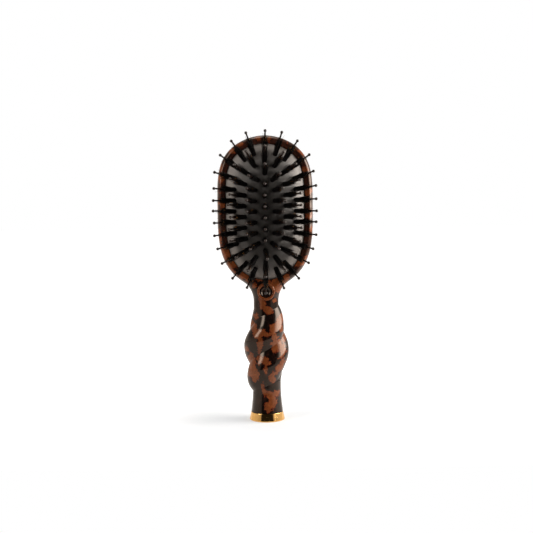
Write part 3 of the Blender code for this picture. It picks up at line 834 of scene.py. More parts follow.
def steel_finish():
    made, tree, shader, place = new_material("Stud Steel")
    smudge, scratch = marks(tree, place, 3.0, 0.3)
    colour_of(tree, shader, smudge, (0.55, 0.55, 0.56), (0.40, 0.38, 0.36))
    shader.inputs["Metallic"].default_value = 1.0
    feed(tree, shader.inputs["Roughness"], ramp(tree, scratch, 0.0, 1.0, 0.28, 0.45))
    return made


def frame_finish():
    """Moulded black plastic with a fine spark-eroded grain."""
    made, tree, shader, place = new_material("Frame Plastic")
    grain = noise(tree, place, 6.0, 3.0, 0.7).outputs[0]
    colour_of(tree, shader, grain, (0.018, 0.018, 0.018), (0.04, 0.04, 0.04))
    feed(tree, shader.inputs["Roughness"], ramp(tree, grain, 0.3, 0.7, 0.4, 0.6))
    bump(tree, shader, grain, 0.3, 0.05 * MM)
    return made


def cloth_finish(settings):
    """Twill-woven cloth bonded to rubber, threads along X and Z."""
    made, tree, shader, place = new_material("Cushion Cloth")
    sway = noise(tree, place, 0.08, 2.0, 0.5).outputs["Color"]
    sway = vector_maths(tree, "SUBTRACT", sway, (0.5, 0.5, 0.5))
    swayed = vector_maths(tree, "ADD", place, vector_maths(tree, "SCALE", sway, scale=1.2))
    parts = add_node(tree, "ShaderNodeSeparateXYZ", {"Vector": swayed})
    across = maths(tree, "DIVIDE", parts.outputs["X"], settings.thread / MM)
    along = maths(tree, "DIVIDE", parts.outputs["Z"], settings.thread / MM)
    count = maths(tree, "ADD", maths(tree, "FLOOR", across), maths(tree, "FLOOR", along))
    over = maths(tree, "LESS_THAN", maths(tree, "FLOORED_MODULO", count, 3.0), 1.5)
    round_warp, round_weft = (
        maths(tree, "ABSOLUTE", maths(tree, "SINE", maths(tree, "MULTIPLY", way, math.pi)))
        for way in (across, along)
    )
    height = blend_value(tree, over, round_weft, round_warp)
    fuzz = noise(tree, place, 2.4, 3.0, 0.7).outputs[0]
    lint = noise(tree, place, 0.35, 3.0, 0.6).outputs[0]
    # Painted shade of the weave: each thread's colour is painted darker towards its edges and
    # lighter along its crest, besides the bump.
    tone = maths(tree, "MULTIPLY", height, maths(tree, "ADD", 0.55, fuzz))
    woven = blend_colour(tree, tone, lighter(settings.cloth, 0.3), lighter(settings.cloth, 2.0))
    # Painted sheen: the cloth is painted lighter the lower it lies on the dome towards its edge,
    # where the side lights catch it, and more so on raised threads.
    depth = add_node(tree, "ShaderNodeSeparateXYZ", {"Vector": place}).outputs["Y"]
    crown = -(PAD_EDGE_Y - PAD_HEIGHT) / MM
    low = ramp(tree, depth, -0.86 * crown, 1.05 * PAD_EDGE_Y / MM)
    raised = maths(tree, "ADD", 0.45, maths(tree, "MULTIPLY", height, 0.9))
    painted_sheen = maths(tree, "MULTIPLY", low, raised)
    with_painted_sheen = blend_colour(tree, maths(tree, "MINIMUM", painted_sheen, 1.0), woven, settings.painted_sheen[:])
    colour_of(tree, shader, ramp(tree, lint, 0.5, 0.8, 0.0, 0.25), with_painted_sheen, (0.02, 0.019, 0.018))
    feed(tree, shader.inputs["Roughness"], ramp(tree, fuzz, 0.2, 0.8, 0.36, 0.52))
    shader.inputs["Specular IOR Level"].default_value = 1.0
    shader.inputs["Sheen Weight"].default_value = 0.35
    shader.inputs["Sheen Roughness"].default_value = 0.35
    bump(tree, shader, height, 0.6, 0.12 * MM)
    return made


def nylon_finish():
    """Dark glossy nylon, a little browner in random clouds."""
    made, tree, shader, place = new_material("Dark Nylon")
    smudge, scratch = marks(tree, place, 3.0, 0.4)
    cloud = noise(tree, place, 0.9, 2.0, 0.5).outputs[0]
    thin = ramp(tree, cloud, 0.35, 0.7)
    colour_of(tree, shader, thin, (0.009, 0.006, 0.005), (0.022, 0.011, 0.008))
    rough = maths(tree, "ADD", 0.10, maths(tree, "MULTIPLY", smudge, 0.12))
    feed(tree, shader.inputs["Roughness"], rough)
    shader.inputs["IOR"].default_value = 1.53
    bump(tree, shader, scratch, 0.1, 0.02 * MM)
    return made


def bristle_finish():
    """Black boar bristle with an occasional amber hair."""
    made, tree, shader, place = new_material("Boar Bristle")
    tone = add_node(tree, "ShaderNodeAttribute", attribute_name="hair_tone").outputs["Fac"]
    amber_share = ramp(tree, tone, 0.955, 0.96)
    amber = blend_colour(tree, amber_share, (0.004, 0.0035, 0.003), (0.50, 0.23, 0.055))
    grey_share = ramp(tree, tone, 0.6, 0.95)
    grey = blend_colour(tree, grey_share, (0.0022, 0.002, 0.002), (0.007, 0.006, 0.0055))
    colour = blend_colour(tree, ramp(tree, tone, 0.95, 0.955), grey, amber)
    stretched = vector_maths(tree, "MULTIPLY", place, (1.0, 0.2, 1.0))
    streak = noise(tree, stretched, 3.0, 2.0, 0.6).outputs[0]
    dust = ramp(tree, streak, 0.4, 0.8, 0.0, 0.3)
    colour_of(tree, shader, dust, colour, (0.010, 0.007, 0.006))
    feed(tree, shader.inputs["Roughness"], ramp(tree, streak, 0.3, 0.7, 0.42, 0.58))
    shader.inputs["Specular IOR Level"].default_value = 0.3
    shader.inputs["IOR"].default_value = 1.5
    return made


# ---- tufts ----


def tuft_frame(base, out, tilt):
    """A matrix whose origin is the tuft's foot on the cushion and whose Z is its axis."""
    angle = math.radians(tilt)
    axis = Vector((out.x * math.sin(angle), -math.cos(angle), out.z * math.sin(angle)))
    side = axis.cross(Vector((0, 0, 1))).normalized()
    up = side.cross(axis).normalized()
    matrix = Matrix((side, -up, axis)).transposed().to_4x4()
    matrix.translation = base
    return matrix


def ring_tufts(share, count, tilt):
    """Tuft frames round one contour of the cushion, from the top, clockwise."""
    points = evenly(pad_ring(share, CONTOUR_STEPS), count)
    along = np.roll(points, -1, axis=0) - np.roll(points, 1, axis=0)
    y = PAD_EDGE_Y - pad_height(share)
    frames = []
    for (x, z), (dx, dz) in zip(points, along):
        out = Vector((-dz, 0, dx)).normalized()
        frames.append(tuft_frame(Vector((x, y, z)), out, tilt))
    return frames


def settled(matrix, random):
    """The tuft's frame after use: it leans its own way, and those on the shoulders lean up."""
    foot = matrix.translation
    upper = smooth_step(foot.z, HEAD_MIDDLE_Z, HEAD_MIDDLE_Z + HEAD_RISE * 0.6)
    lift = SHOULDER_LEAN * upper * smooth_step(abs(foot.x), 0.0, HEAD_HALF_WIDTH * 0.5)
    turns = np.clip(random.normal(0.0, OWN_LEAN, 2), -2 * OWN_LEAN, 2 * OWN_LEAN)
    swing = Euler((math.radians(-lift - turns[0]), 0, math.radians(turns[1])))
    swing = swing.to_matrix().to_4x4()
    base = Matrix.Translation(matrix.translation)
    return base @ swing @ base.inverted() @ matrix


def tuft_groups():
    """(group name, body, tuft frames) for each sector of each ring and for the centre row."""
    groups = []
    random = np.random.default_rng(11)
    for name, share, count, tilt in RINGS:
        frames = [settled(f, random) for f in ring_tufts(share, count, tilt)]
        bounds = [round(len(frames) * i / 4) for i in range(5)]
        for sector, low, high in zip(SECTORS, bounds, bounds[1:]):
            groups.append((f"{name}_{sector}", f"{name}_tufts", frames[low:high]))
    y = PAD_EDGE_Y - pad_height(1.0)
    centre = [
        tuft_frame(Vector((0, y, CENTRE_TOP_Z - CENTRE_PITCH * i)), Vector((0, 0, 0)), 0.0)
        for i in range(CENTRE_COUNT)
    ]
    groups.append(("centre", "centre_tufts", centre))
    return groups


def web(frames, depth):
    """A moulded strip that runs past the roots of neighbouring tufts, behind the dome."""
    roots = [f @ Vector((0, 0, -depth)) for f in frames]
    ends = [
        roots[0] + (roots[0] - roots[1]).normalized() * WEB_WIDTH / 2,
        roots[-1] + (roots[-1] - roots[-2]).normalized() * WEB_WIDTH / 2,
    ]
    path = [ends[0], *roots, ends[1]]
    axes = [frames[0], *frames, frames[-1]]
    corners = ((1, 1), (1, -1), (-1, -1), (-1, 1))
    rows = []
    for i, point in enumerate(path):
        before = path[max(i - 1, 0)]
        after = path[min(i + 1, len(path) - 1)]
        axis = axes[i].col[2].xyz
        across = axis.cross(after - before).normalized()
        rows.append([
            point + across * side * WEB_WIDTH / 2 + axis * lift * WEB_THICKNESS / 2
            for side, lift in corners
        ])
    bm = rolled_sheet(np.array(rows), capped=True)
    rim = [e for e in bm.edges if e.calc_face_angle(0.0) > 0.8]
    bmesh.ops.bevel(
        bm, geom=rim, offset=0.15 * MM, offset_type="OFFSET", segments=2, profile=0.5,
        affect="EDGES", material=-1, clamp_overlap=True,
    )
    return bm


def pin_profile(ball_radius):
    """From the root: a moulded head, a tapering shank and a ball."""
    centre = PIN_LENGTH - ball_radius
    ball = [
        (ball_radius * math.sin(a), centre - ball_radius * math.cos(a))
        for a in np.linspace(0.56, math.pi, 10)
    ]
    shank = (
        (0, -PIN_ROOT_DEPTH), (0.55 * MM, -PIN_ROOT_DEPTH), (0.60 * MM, -PIN_ROOT_DEPTH + 0.1 * MM),
        (SHANK_RADIUS, 0.0), (SHANK_RADIUS, 0.5 * PIN_LENGTH),
        (0.62 * MM, centre - 1.6 * ball_radius), (SHANK_TIP_RADIUS, centre - 1.15 * ball_radius),
    )
    return (*shank, *ball[:-1], (0, PIN_LENGTH))


def hair_strip(count):
    """A mesh of many three-sided hairs, one unit long, that all lie on each other."""
    bm = bmesh.new()
    bmesh.ops.create_cone(
        bm, cap_ends=True, cap_tris=False, segments=3, radius1=1.0, radius2=1.0, depth=1.0,
    )
    bmesh.ops.translate(bm, vec=(0, 0, 0.5), verts=bm.verts)
    for i in range(1, HAIR_STATIONS):
        geom = bm.verts[:] + bm.edges[:] + bm.faces[:]
        bmesh.ops.bisect_plane(
            bm, geom=geom, plane_co=(0, 0, i / HAIR_STATIONS), plane_no=(0, 0, 1),
        )
    obj = add_piece("hair", bm)
    copies = obj.modifiers.new("Copies", "ARRAY")
    copies.count = count
    copies.use_relative_offset = False
    copies.use_constant_offset = True
    copies.constant_offset_displace = (0, 0, 0)
    settle(obj)
    return obj


def bundle_hairs(frames, settings, random):
    """The hairs of some bundles: a mesh whose points lie along gently splayed hairs."""
    count = settings.hairs * len(frames)
    obj = hair_strip(count)
    template = coordinates(obj.data).reshape(count, -1, 3)
    t = template[:, :, 2]
    index = np.arange(count) % settings.hairs
    spread = np.sqrt((index + 0.5) / settings.hairs)
    around = index * math.pi * (3 - math.sqrt(5)) + random.uniform(-0.2, 0.2, count)
    root = HAIR_INNER_RADIUS + (settings.bundle_radius - HAIR_INNER_RADIUS) * spread
    stray = random.random(count) < settings.strays
    flare = np.where(stray, random.uniform(0.3, 1.7, count), random.uniform(-0.1, 0.5, count)) * MM
    bend = random.normal(0.0, 1.0, (count, 2)) * np.where(stray, 0.75, 0.22)[:, None] * MM
    length = BUNDLE_LENGTH * (1.02 - 0.16 * spread**2 + random.uniform(-0.14, 0.14, count))
    length += np.where(stray, random.uniform(-2.5, 3.0, count), 0.0) * MM
    length = np.minimum(length, LONGEST_HAIR)
    thick = random.uniform(0.13, 0.19, count) * MM
    out = root[:, None] + flare[:, None] * t**1.5
    x = out * np.cos(around)[:, None] + bend[:, :1] * t**2
    y = out * np.sin(around)[:, None] + bend[:, 1:] * t**2
    z = -BUNDLE_ROOT_DEPTH + (length[:, None] + BUNDLE_ROOT_DEPTH) * t
    girth = thick[:, None] * (1 - 0.6 * t**2)
    spin = random.uniform(0, 2 * math.pi, count)[:, None]
    corner_x = template[:, :, 0] * np.cos(spin) - template[:, :, 1] * np.sin(spin)
    corner_y = template[:, :, 0] * np.sin(spin) + template[:, :, 1] * np.cos(spin)
    local = np.stack([x + corner_x * girth, y + corner_y * girth, z, np.ones_like(z)], axis=-1)
    matrices = np.repeat(np.array([np.array(f) for f in frames]), settings.hairs, axis=0)
    world = np.einsum("nij,nkj->nki", matrices, local)[:, :, :3]
    set_coordinates(obj.data, world.reshape(-1, 3))
    tone = obj.data.attributes.new("hair_tone", "FLOAT", "POINT")
    per_hair = random.random(count)[:, None] * np.ones_like(t)
    per_hair[(per_hair > 0.93) & (t < 0.9)] = 0.9
    tone.data.foreach_set("value", per_hair.ravel().astype(np.float32))
    return obj


# ---- cushion ----


def cushion_rings():
    """Rows of points from the crown over the dome, skirt and lip, and back under the dome."""
    domes = np.linspace(0, 1, DOME_ROWS) ** 1.35
    skirt = OPENING_INSET + GAP
    lip = GROOVE_INSET + GAP
    lip_front = GROOVE_FRONT_Y + GAP
    lip_back = GROOVE_BACK_Y - GAP
    rings = [(pad_ring(s, OUTLINE_POINTS), PAD_EDGE_Y - pad_height(s)) for s in domes[::-1]]
    dome_rows = len(rings)
    rings.append((egg_outline(skirt, OUTLINE_POINTS), lip_front))
    rings.append((egg_outline(lip, OUTLINE_POINTS), lip_front))
    rings.append((egg_outline(lip, OUTLINE_POINTS), lip_back))
    rings.append((egg_outline(skirt + PAD_THICKNESS, OUTLINE_POINTS), lip_back))
    for share in domes[3::3]:
        y = PAD_EDGE_Y - pad_height(share) + pad_drop(share)
        rings.append((pad_ring(share, OUTLINE_POINTS), y))
    return np.array([level_row(outline, y) for outline, y in rings]), dome_rows


def swell_between_tufts(rows, roots, most):
    """Air pressure pushes the membrane out where no tuft holds it. Gives rest points and moves."""
    sheet = add_piece("cushion_air", rolled_sheet(rows))
    rest = coordinates(sheet.data)
    held = sheet.vertex_groups.new(name="held")
    edge_y = rows[-3, :, 1].min()
    feet = np.array(roots)
    for i, point in enumerate(rest):
        near = np.linalg.norm(feet - point, axis=1).min()
        hold = 1.0 if point[1] > edge_y else float(1 - smooth_step(near, HOLE_RADIUS, HOLD_RADIUS))
        if hold > 0:
            held.add([i], hold, "REPLACE")
    cloth = sheet.modifiers.new("Air", "CLOTH")
    cloth.settings.quality = 6
    cloth.settings.mass = 0.2
    cloth.settings.tension_stiffness = 25
    cloth.settings.compression_stiffness = 25
    cloth.settings.shear_stiffness = 10
    cloth.settings.bending_stiffness = 2
    cloth.settings.use_pressure = True
    cloth.settings.uniform_pressure_force = 4.0
    cloth.settings.vertex_group_mass = "held"
    cloth.settings.effector_weights.gravity = 0.0
    scene = bpy.context.scene
    for step in range(1, SWELL_FRAMES + 1):
        scene.frame_set(step)
    graph = bpy.context.evaluated_depsgraph_get()
    swollen = sheet.evaluated_get(graph).to_mesh()
    moves = coordinates(swollen) - rest
    sheet.evaluated_get(graph).to_mesh_clear()
    scene.frame_set(1)
    bpy.data.objects.remove(sheet, do_unlink=True)
    lengths = np.linalg.norm(moves, axis=1)
    limit = np.minimum(1.0, most / np.maximum(lengths, 1e-9))
    return rest, moves * limit[:, None]


# ---- operators ----


class HAIRBRUSH_OT_body(bpy.types.Operator):
    """Model the head, neck and twisted handle and give them their acetate"""

    bl_idname = "hairbrush.body"
    bl_label = "Body"

    def execute(self, context):
        settings = context.scene.hairbrush_body
        finish = acetate_finish(settings)
        body = add_piece("tortoiseshell_body", self.skin(), finish)
        boolean(body, "UNION", self.ring())
        boolean(body, "DIFFERENCE", self.dish(), self.recess(settings.edge_round), self.bore())
        mesh = body.data
        mesh.shade_smooth()
        mesh.set_sharp_from_angle(angle=math.radians(32))
        points = coordinates(mesh)
        front = smooth_step(-points[:, 1], -3 * MM, 1.5 * MM)
        for name, values in (("amber_lean", self.amber_lean(points)), ("front_side", front)):
            made = mesh.attributes.new(name, "FLOAT", "POINT")
            made.data.foreach_set("value", values.astype(np.float32))
        hand_over(body, "brush", "acetate", "brush_body")
        return {"FINISHED"}

    def skin(self):
        heights = body_rows()
        plug_radius = CAP_TOP_RADIUS - CAP_WALL - GAP
        rows = []
        for z in (CAP_FLOOR_Z + GAP, heights[0]):
            angle = column_turns(heights[0]) + crown_angle(heights[0])
            rows.append(round_row(plug_radius, angle, z))
        for z in heights:
            if z > NECK_Z:
                rows.append(head_surface(column_turns(NECK_Z) + crown_angle(NECK_Z), z))
            else:
                rows.append(handle_row(z))
        return rolled_sheet(np.array(rows), capped=True)

    def ring(self):
        """The raised ring, which follows the neck's round front."""
        turns = np.linspace(0, 2 * math.pi, 96, endpoint=False)
        around = np.linspace(0, 2 * math.pi, 24, endpoint=False)
        rows = []
        for turn in [*turns, 0.0]:
            x = RING_HALF_WIDTH * math.sin(turn)
            z = RING_Z + RING_HALF_HEIGHT * math.cos(turn)
            centre = head_surface(np.array([math.asin(x / float(half_width(z)))]), z)[0]
            out = np.array((math.sin(turn), 0, math.cos(turn)))
            front = np.array((0, -1.0, 0))
            rows.append([
                centre + RING_THICKNESS / 2 * (math.cos(a) * out + math.sin(a) * front)
                for a in around
            ])
        return add_piece("ring_shape", rolled_sheet(np.array(rows)))

    def dish(self):
        """An ovoid whose near end scoops the dish inside the ring."""
        bm = bmesh.new()
        bmesh.ops.create_uvsphere(bm, u_segments=72, v_segments=36, radius=1.0)
        width = RING_HALF_WIDTH - RING_THICKNESS / 2
        height = RING_HALF_HEIGHT - RING_THICKNESS / 2
        bmesh.ops.scale(bm, vec=(width, DISH_OVOID_DEPTH, height), verts=bm.verts)
        y = DISH_DEPTH - NECK_RADIUS - DISH_OVOID_DEPTH
        bmesh.ops.translate(bm, vec=(0, y, RING_Z), verts=bm.verts)
        return add_piece("dish_shape", bm)

    def recess(self, edge):
        """The space behind the opening, with a rounded mouth and an undercut groove."""
        mouth = [
            (OPENING_INSET - edge * (1 - math.sin(a)), -FACE_DEPTH + edge * (1 - math.cos(a)))
            for a in np.linspace(0, math.pi / 2, 5)
        ]
        levels = (
            (OPENING_INSET - edge, -FACE_DEPTH - 2 * MM), *mouth,
            (OPENING_INSET, GROOVE_FRONT_Y), (GROOVE_INSET, GROOVE_FRONT_Y),
            (GROOVE_INSET, GROOVE_BACK_Y), (OPENING_INSET + 1.2 * MM, GROOVE_BACK_Y),
            (OPENING_INSET + 3.5 * MM, RECESS_FLOOR_Y),
        )
        rows = [level_row(egg_outline(inset, OUTLINE_POINTS), y) for inset, y in levels]
        return add_piece("recess_shape", rolled_sheet(np.array(rows), capped=True))

    def bore(self):
        radius = STUD_RADIUS + GAP
        profile = ((0, 0), (radius, 0), (radius, STUD_TOP_Z + GAP), (0, STUD_TOP_Z + 2 * MM))
        return add_piece("bore_shape", turned(profile, 32))

    def amber_lean(self, points):
        """How far inside an amber chip each point is, in mm: below 0 it is in the dark."""
        x, y, z = points.T / MM
        inside = np.full(len(points), CHIP_OUTSIDE_MM)
        for chip_x, chip_z, half_x, half_z, lean in AMBER_CHIPS:
            angle = math.radians(lean)
            dx, dz = x - chip_x, z - chip_z
            along = np.abs(dx * math.sin(angle) + dz * math.cos(angle)) / half_z
            aside = np.abs((dx * math.cos(angle) - dz * math.sin(angle)) / half_x)
            depth = (1 - (along**1.25 + aside**1.25) ** 0.8) * min(abs(half_x), half_z)
            inside = np.maximum(inside, depth) if half_x > 0 else np.minimum(inside, -depth)
        # The raised ring is painted amber: partly the ring's own amber, partly a painted highlight
        # along it.
        from_ring = np.hypot(
            x / RING_HALF_WIDTH * MM, (z - RING_Z / MM) / RING_HALF_HEIGHT * MM,
        )
        ring_amber_and_painted_highlight = (np.abs(from_ring - 1) < 0.19) & (y < -NECK_RADIUS / MM + 2)
        inside = np.where(ring_amber_and_painted_highlight, np.maximum(inside, 1.5), inside)
        return np.clip(inside, CHIP_OUTSIDE_MM, CHIP_INSIDE_MM)


class HAIRBRUSH_OT_foot(bpy.types.Operator):
    """Turn the gilt foot cap and the threaded stud inside it"""

    bl_idname = "hairbrush.foot"
    bl_label = "Foot"

    def execute(self, context):
        settings = context.scene.hairbrush_foot
        round_mm = settings.lip_round
        corner = [
            (CAP_FOOT_RADIUS - round_mm * (1 - math.sin(a)), round_mm * (1 - math.cos(a)))
            for a in np.linspace(0, math.pi / 2, 9)
        ]
        half_wall = CAP_WALL / 2
        lip_radius, lip_height = CAP_TOP_RADIUS - half_wall, CAP_HEIGHT - half_wall
        top = [
            (lip_radius + half_wall * math.cos(a), lip_height + half_wall * math.sin(a))
            for a in np.linspace(0, math.pi, 9)
        ]
        bore = STUD_RADIUS + GAP
        (low_radius, low), (high_radius, high) = corner[-1], top[0]
        side = [
            (low_radius + (high_radius - low_radius) * t, low + (high - low) * t)
            for t in (0.05, 0.1, 0.3, 0.5, 0.7, 0.9, 0.95)
        ]
        profile = (
            (0, 0.25 * MM), (10.5 * MM, 0.25 * MM), (11.0 * MM, 0), *corner, *side, *top,
            (CAP_TOP_RADIUS - CAP_WALL, CAP_FLOOR_Z), (bore, CAP_FLOOR_Z),
            (bore, STUD_BASE_Z - GAP), (0, STUD_BASE_Z - GAP),
        )
        cap = add_piece("gilt_foot_cap", turned(profile, 160), gilt_finish(settings), 40.0)
        hand_over(cap, "brush", "gilt", "foot_cap")
        thread = turned(self.thread(settings.thread_pitch), 32)
        stud = add_piece("threaded_stud", thread, steel_finish(), 20.0)
        hand_over(stud, "brush", "stud_steel", "cap_stud")
        return {"FINISHED"}

    def thread(self, pitch):
        """The stud's outline with its thread, from (radius, height) points."""
        depth = 0.3 * MM
        crests = int((STUD_TOP_Z - STUD_BASE_Z - 2 * MM) / pitch)
        points = [(0, STUD_BASE_Z), (STUD_RADIUS - depth, STUD_BASE_Z)]
        for i in range(crests):
            z = STUD_BASE_Z + MM + i * pitch
            points += [(STUD_RADIUS, z), (STUD_RADIUS - depth, z + pitch / 2)]
        tip = (
            (STUD_RADIUS - depth, STUD_TOP_Z - 0.5 * MM), (STUD_RADIUS - 3 * depth, STUD_TOP_Z),
            (0, STUD_TOP_Z),
        )
        return (*points, *tip)


class HAIRBRUSH_OT_cushion(bpy.types.Operator):
    """Model the pneumatic cushion with its tuft holes, and the frame that holds its lip"""

    bl_idname = "hairbrush.cushion"
    bl_label = "Cushion"

    def execute(self, context):
        settings = context.scene.hairbrush_cushion
        frames = [f for _, _, group in tuft_groups() for f in group]
        rows, dome_rows = cushion_rings()
        pad = add_piece("woven_cushion", rolled_sheet(rows), cloth_finish(settings))
        self.dimple(pad, frames)
        rest, moves = swell_between_tufts(
            rows[:dome_rows], [f.translation for f in frames], settings.swell,
        )
        self.carry(pad, rest, moves)
        hole = ((0, -5 * MM), (HOLE_RADIUS, -5 * MM), (HOLE_RADIUS, 3 * MM), (0, 3 * MM))
        boolean(pad, "DIFFERENCE", add_piece("holes", placed_copies(turned(hole, 18), frames)))
        pad.data.shade_smooth()
        pad.data.set_sharp_from_angle(angle=math.radians(40))
        hand_over(pad, "brush", "cushion_rubber", "cushion_pad")
        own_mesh(pad)
        holder = add_piece("lip_frame", self.lip_frame(), frame_finish())
        hand_over(holder, "brush", "frame_plastic", "pad_retaining_frame")
        return {"FINISHED"}

    def dimple(self, pad, frames):
        """The membrane dips a little round each tuft."""
        points = coordinates(pad.data)
        feet = np.array([f.translation for f in frames])
        outer = points[:, 1] < PAD_EDGE_Y
        for foot in feet:
            away = np.linalg.norm((points - foot)[:, (0, 2)], axis=1)
            points[:, 1] += np.where(outer, 0.28 * MM * np.exp(-((away / (2.4 * MM)) ** 2)), 0.0)
        set_coordinates(pad.data, points)

    def carry(self, pad, rest, moves):
        """Gives the cushion the moves of the nearest point of the swollen sheet."""
        tree = kdtree.KDTree(len(rest))
        for i, point in enumerate(rest):
            tree.insert(point, i)
        tree.balance()
        points = coordinates(pad.data)
        for i, point in enumerate(points):
            if point[1] < PAD_EDGE_Y:
                points[i] += moves[tree.find(point)[1]]
        set_coordinates(pad.data, points)

    def lip_frame(self):
        path = egg_outline(LIP_FRAME_INSET, 160)
        around = np.linspace(0, 2 * math.pi, 14, endpoint=False)
        rows = []
        for x, z in [*path, path[0]]:
            out = Vector((x, 0, z - HEAD_MIDDLE_Z)).normalized()
            centre = Vector((x, GROOVE_BACK_Y - GAP, z))
            back = Vector((0, 1, 0))
            rows.append([
                centre + LIP_FRAME_RADIUS * (math.cos(a) * out + math.sin(a) * back) for a in around
            ])
        return rolled_sheet(np.array(rows))


class HAIRBRUSH_OT_pins(bpy.types.Operator):
    """Model the nylon pins with their ball tips, one piece for each sector"""

    bl_idname = "hairbrush.pins"
    bl_label = "Pins"

    def execute(self, context):
        settings = context.scene.hairbrush_tufts
        finish = nylon_finish()
        for name, body, frames in tuft_groups():
            bm = placed_copies(turned(pin_profile(settings.ball_radius), 14), frames)
            join(bm, web(frames, PIN_ROOT_DEPTH))
            pins = add_piece(f"ball_pins_{name}", bm, finish)
            hand_over(pins, body, "nylon_pin", f"pins_{name}")
        return {"FINISHED"}


class HAIRBRUSH_OT_bristles(bpy.types.Operator):
    """Model the boar bristle bundles round the pins, one piece for each sector"""

    bl_idname = "hairbrush.bristles"
    bl_label = "Bristles"

    def execute(self, context):
        settings = context.scene.hairbrush_tufts
        finish = bristle_finish()
        random = np.random.default_rng(settings.seed)
        for name, body, frames in tuft_groups():
            hairs = bundle_hairs(frames, settings, random)
            bm = placed_copies(self.core(), frames)
            join(bm, web(frames, BUNDLE_ROOT_DEPTH))
            bm.from_mesh(hairs.data)
            bpy.data.objects.remove(hairs, do_unlink=True)
            bundles = add_piece(f"boar_bristles_{name}", bm, finish, 60.0)
            hand_over(bundles, body, "bristle", f"bristles_{name}")
        return {"FINISHED"}

    def core(self):
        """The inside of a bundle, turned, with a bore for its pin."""
        bore = SHANK_RADIUS
        profile = (
            (bore, -BUNDLE_ROOT_DEPTH), (1.4 * MM, -BUNDLE_ROOT_DEPTH), (1.5 * MM, 0.0),
            (1.5 * MM, 8 * MM), (1.2 * MM, 11.5 * MM), (bore, 12.5 * MM),
            (bore, -BUNDLE_ROOT_DEPTH),
        )
        return turned(profile, 10)


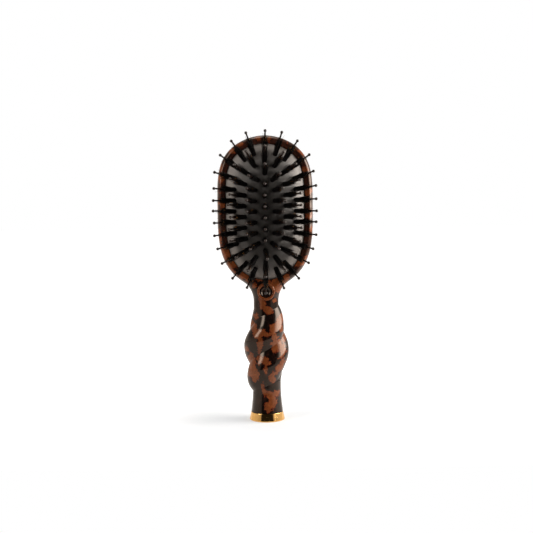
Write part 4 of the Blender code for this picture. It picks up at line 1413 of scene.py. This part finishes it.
class HAIRBRUSH_OT_stage(bpy.types.Operator):
    """Lay the floor and set the lights and the camera"""

    bl_idname = "hairbrush.stage"
    bl_label = "Stage"

    def execute(self, context):
        settings = context.scene.hairbrush_stage
        self.floor(settings)
        self.surroundings()
        for name, place, target, width, height, power in (
            ("key_light", (0.50, -0.02, 0.32), (0.0, -0.02, 0.32), 0.84, 0.42, settings.key_power),
            ("fill_light", (-0.55, -0.33, 0.46), (0.0, 0.0, 0.32), 0.40, 0.52, settings.fill_power),
            ("top_light", (-0.03, 0.20, 0.86), (0.0, 0.0, 0.0), 0.60, 0.60, settings.top_power),
        ):
            self.softbox(name, place, target, width, height, power)
        self.camera()
        context.scene.view_settings.view_transform = "Standard"
        context.scene.view_settings.look = "None"
        return {"FINISHED"}

    def floor(self, settings):
        bm = bmesh.new()
        bmesh.ops.create_circle(bm, cap_ends=True, segments=128, radius=FLOOR_RADIUS)
        bmesh.ops.translate(bm, vec=(0, FLOOR_BEHIND, 0), verts=bm.verts)
        made, tree, shader, place = new_material("Pale Floor")
        tint = noise(tree, place, 0.02, 2.0).outputs[0]
        colour_of(tree, shader, tint, settings.floor[:], lighter(settings.floor, 0.99))
        shader.inputs["Roughness"].default_value = 0.9
        # The floor glows: painted light. Seen straight on, it glows weakly near the brush, where
        # the lamps' shadows show, and fully white further off. To all other rays it glows dim and
        # warm, so the brush reflects it and is lit by it.
        seen = add_node(tree, "ShaderNodeLightPath").outputs["Is Camera Ray"]
        far = ramp(tree, vector_length(tree, place), 30.0, 170.0)
        glow = blend_colour(tree, far, (0.40, 0.42, 0.44), (1.0, 1.0, 1.0))
        painted_floor_glow = blend_colour(tree, seen, (0.36, 0.28, 0.22), glow)
        feed(tree, shader.inputs["Emission Color"], painted_floor_glow)
        shader.inputs["Emission Strength"].default_value = 1.0
        floor = add_piece("floor", bm, made)

    def surroundings(self):
        """A white room to look at. What it lights is warm, dimmer overhead and dark in front."""
        world = bpy.data.worlds.new("Studio")
        bpy.context.scene.world = world
        world.use_nodes = True
        tree = world.node_tree
        background = tree.nodes["Background"]
        way = add_node(tree, "ShaderNodeTexCoord").outputs["Generated"]
        parts = add_node(tree, "ShaderNodeSeparateXYZ", {"Vector": way})
        level = vector_maths(tree, "MULTIPLY", way, (1.0, 1.0, 0.0))
        forward = maths(tree, "MULTIPLY", parts.outputs["Y"], -1.0)
        ahead = maths(tree, "DIVIDE", forward, vector_length(tree, level))
        overhead = ramp(tree, parts.outputs["Z"], 0.02, 0.32, 1.0, 0.40)
        room = maths(tree, "MULTIPLY", ramp(tree, ahead, 0.70, 0.77, 0.78, 0.03), overhead)
        seen = add_node(tree, "ShaderNodeLightPath").outputs["Is Camera Ray"]
        tone = blend_colour(tree, seen, (1.0, 0.86, 0.74), (1.0, 1.0, 1.0))
        feed(tree, background.inputs["Color"], tone)
        feed(tree, background.inputs["Strength"], maths(tree, "MAXIMUM", room, seen))

    def softbox(self, name, place, target, width, height, power):
        light = bpy.data.lights.new(name, "AREA")
        light.use_nodes = True
        tree = light.node_tree
        emission = tree.nodes["Emission"]
        across = add_node(tree, "ShaderNodeNewGeometry").outputs["Parametric"]
        parts = add_node(tree, "ShaderNodeSeparateXYZ", {"Vector": across})
        glow = 1.0
        full = {"X": 0.10, "Y": 0.42}  # share of each half that is evenly bright
        for axis in ("X", "Y"):
            off = maths(tree, "ABSOLUTE", maths(tree, "SUBTRACT", parts.outputs[axis], 0.5))
            glow = maths(tree, "MULTIPLY", glow, ramp(tree, off, full[axis], 0.5, 1.0, 0.0))
        feed(tree, emission.inputs["Strength"], glow)
        feed(tree, emission.inputs["Color"], (1.0, 0.92, 0.84))
        light.shape = "RECTANGLE"
        light.size = width
        light.size_y = height
        light.energy = power
        obj = bpy.data.objects.new(name, light)
        bpy.context.scene.collection.objects.link(obj)
        obj.location = place
        obj.rotation_euler = (Vector(target) - Vector(place)).to_track_quat("-Z", "Y").to_euler()
        obj.visible_camera = False

    def camera(self):
        data = bpy.data.cameras.new("Camera")
        data.lens = CAMERA_LENS
        data.sensor_width = 36.0
        data.clip_start = 0.01
        data.clip_end = 10.0
        obj = bpy.data.objects.new("Camera", data)
        bpy.context.scene.collection.objects.link(obj)
        obj.location = CAMERA_PLACE
        aim = Euler((math.radians(90 - CAMERA_DOWN), 0, math.radians(CAMERA_ASIDE))).to_matrix()
        roll = Matrix.Rotation(math.radians(CAMERA_ROLL), 3, "Z")
        obj.rotation_euler = (aim @ roll).to_euler()
        bpy.context.scene.camera = obj


class HAIRBRUSH_PT_panel(bpy.types.Panel):
    """Lists the hairbrush's settings and the operators that model it"""

    bl_idname = "HAIRBRUSH_PT_panel"
    bl_label = "Hairbrush"
    bl_space_type = "VIEW_3D"
    bl_region_type = "UI"
    bl_category = "Hairbrush"

    def draw(self, context):
        for settings_name, operators in PANEL_ROWS:
            settings = getattr(context.scene, settings_name)
            box = self.layout.box()
            for name in settings.__annotations__:
                box.prop(settings, name)
            for operator in operators:
                box.operator(operator.bl_idname)


SETTINGS = {
    "hairbrush_body": BodySettings,
    "hairbrush_foot": FootSettings,
    "hairbrush_cushion": CushionSettings,
    "hairbrush_tufts": TuftSettings,
    "hairbrush_stage": StageSettings,
}
PANEL_ROWS = (
    ("hairbrush_body", (HAIRBRUSH_OT_body,)),
    ("hairbrush_foot", (HAIRBRUSH_OT_foot,)),
    ("hairbrush_cushion", (HAIRBRUSH_OT_cushion,)),
    ("hairbrush_tufts", (HAIRBRUSH_OT_pins, HAIRBRUSH_OT_bristles)),
    ("hairbrush_stage", (HAIRBRUSH_OT_stage,)),
)
CLASSES = (
    *SETTINGS.values(), *(operator for _, row in PANEL_ROWS for operator in row),
    HAIRBRUSH_PT_panel,
)


def register():
    for each in CLASSES:
        bpy.utils.register_class(each)
    for name, group in SETTINGS.items():
        setattr(bpy.types.Scene, name, bpy.props.PointerProperty(type=group))


def unregister():
    for name in SETTINGS:
        delattr(bpy.types.Scene, name)
    for each in reversed(CLASSES):
        bpy.utils.unregister_class(each)


def main():
    register()
    bpy.ops.hairbrush.body()
    bpy.ops.hairbrush.foot()
    bpy.ops.hairbrush.cushion()
    bpy.ops.hairbrush.pins()
    bpy.ops.hairbrush.bristles()
    bpy.ops.hairbrush.stage()


if __name__ == "__main__":
    main()
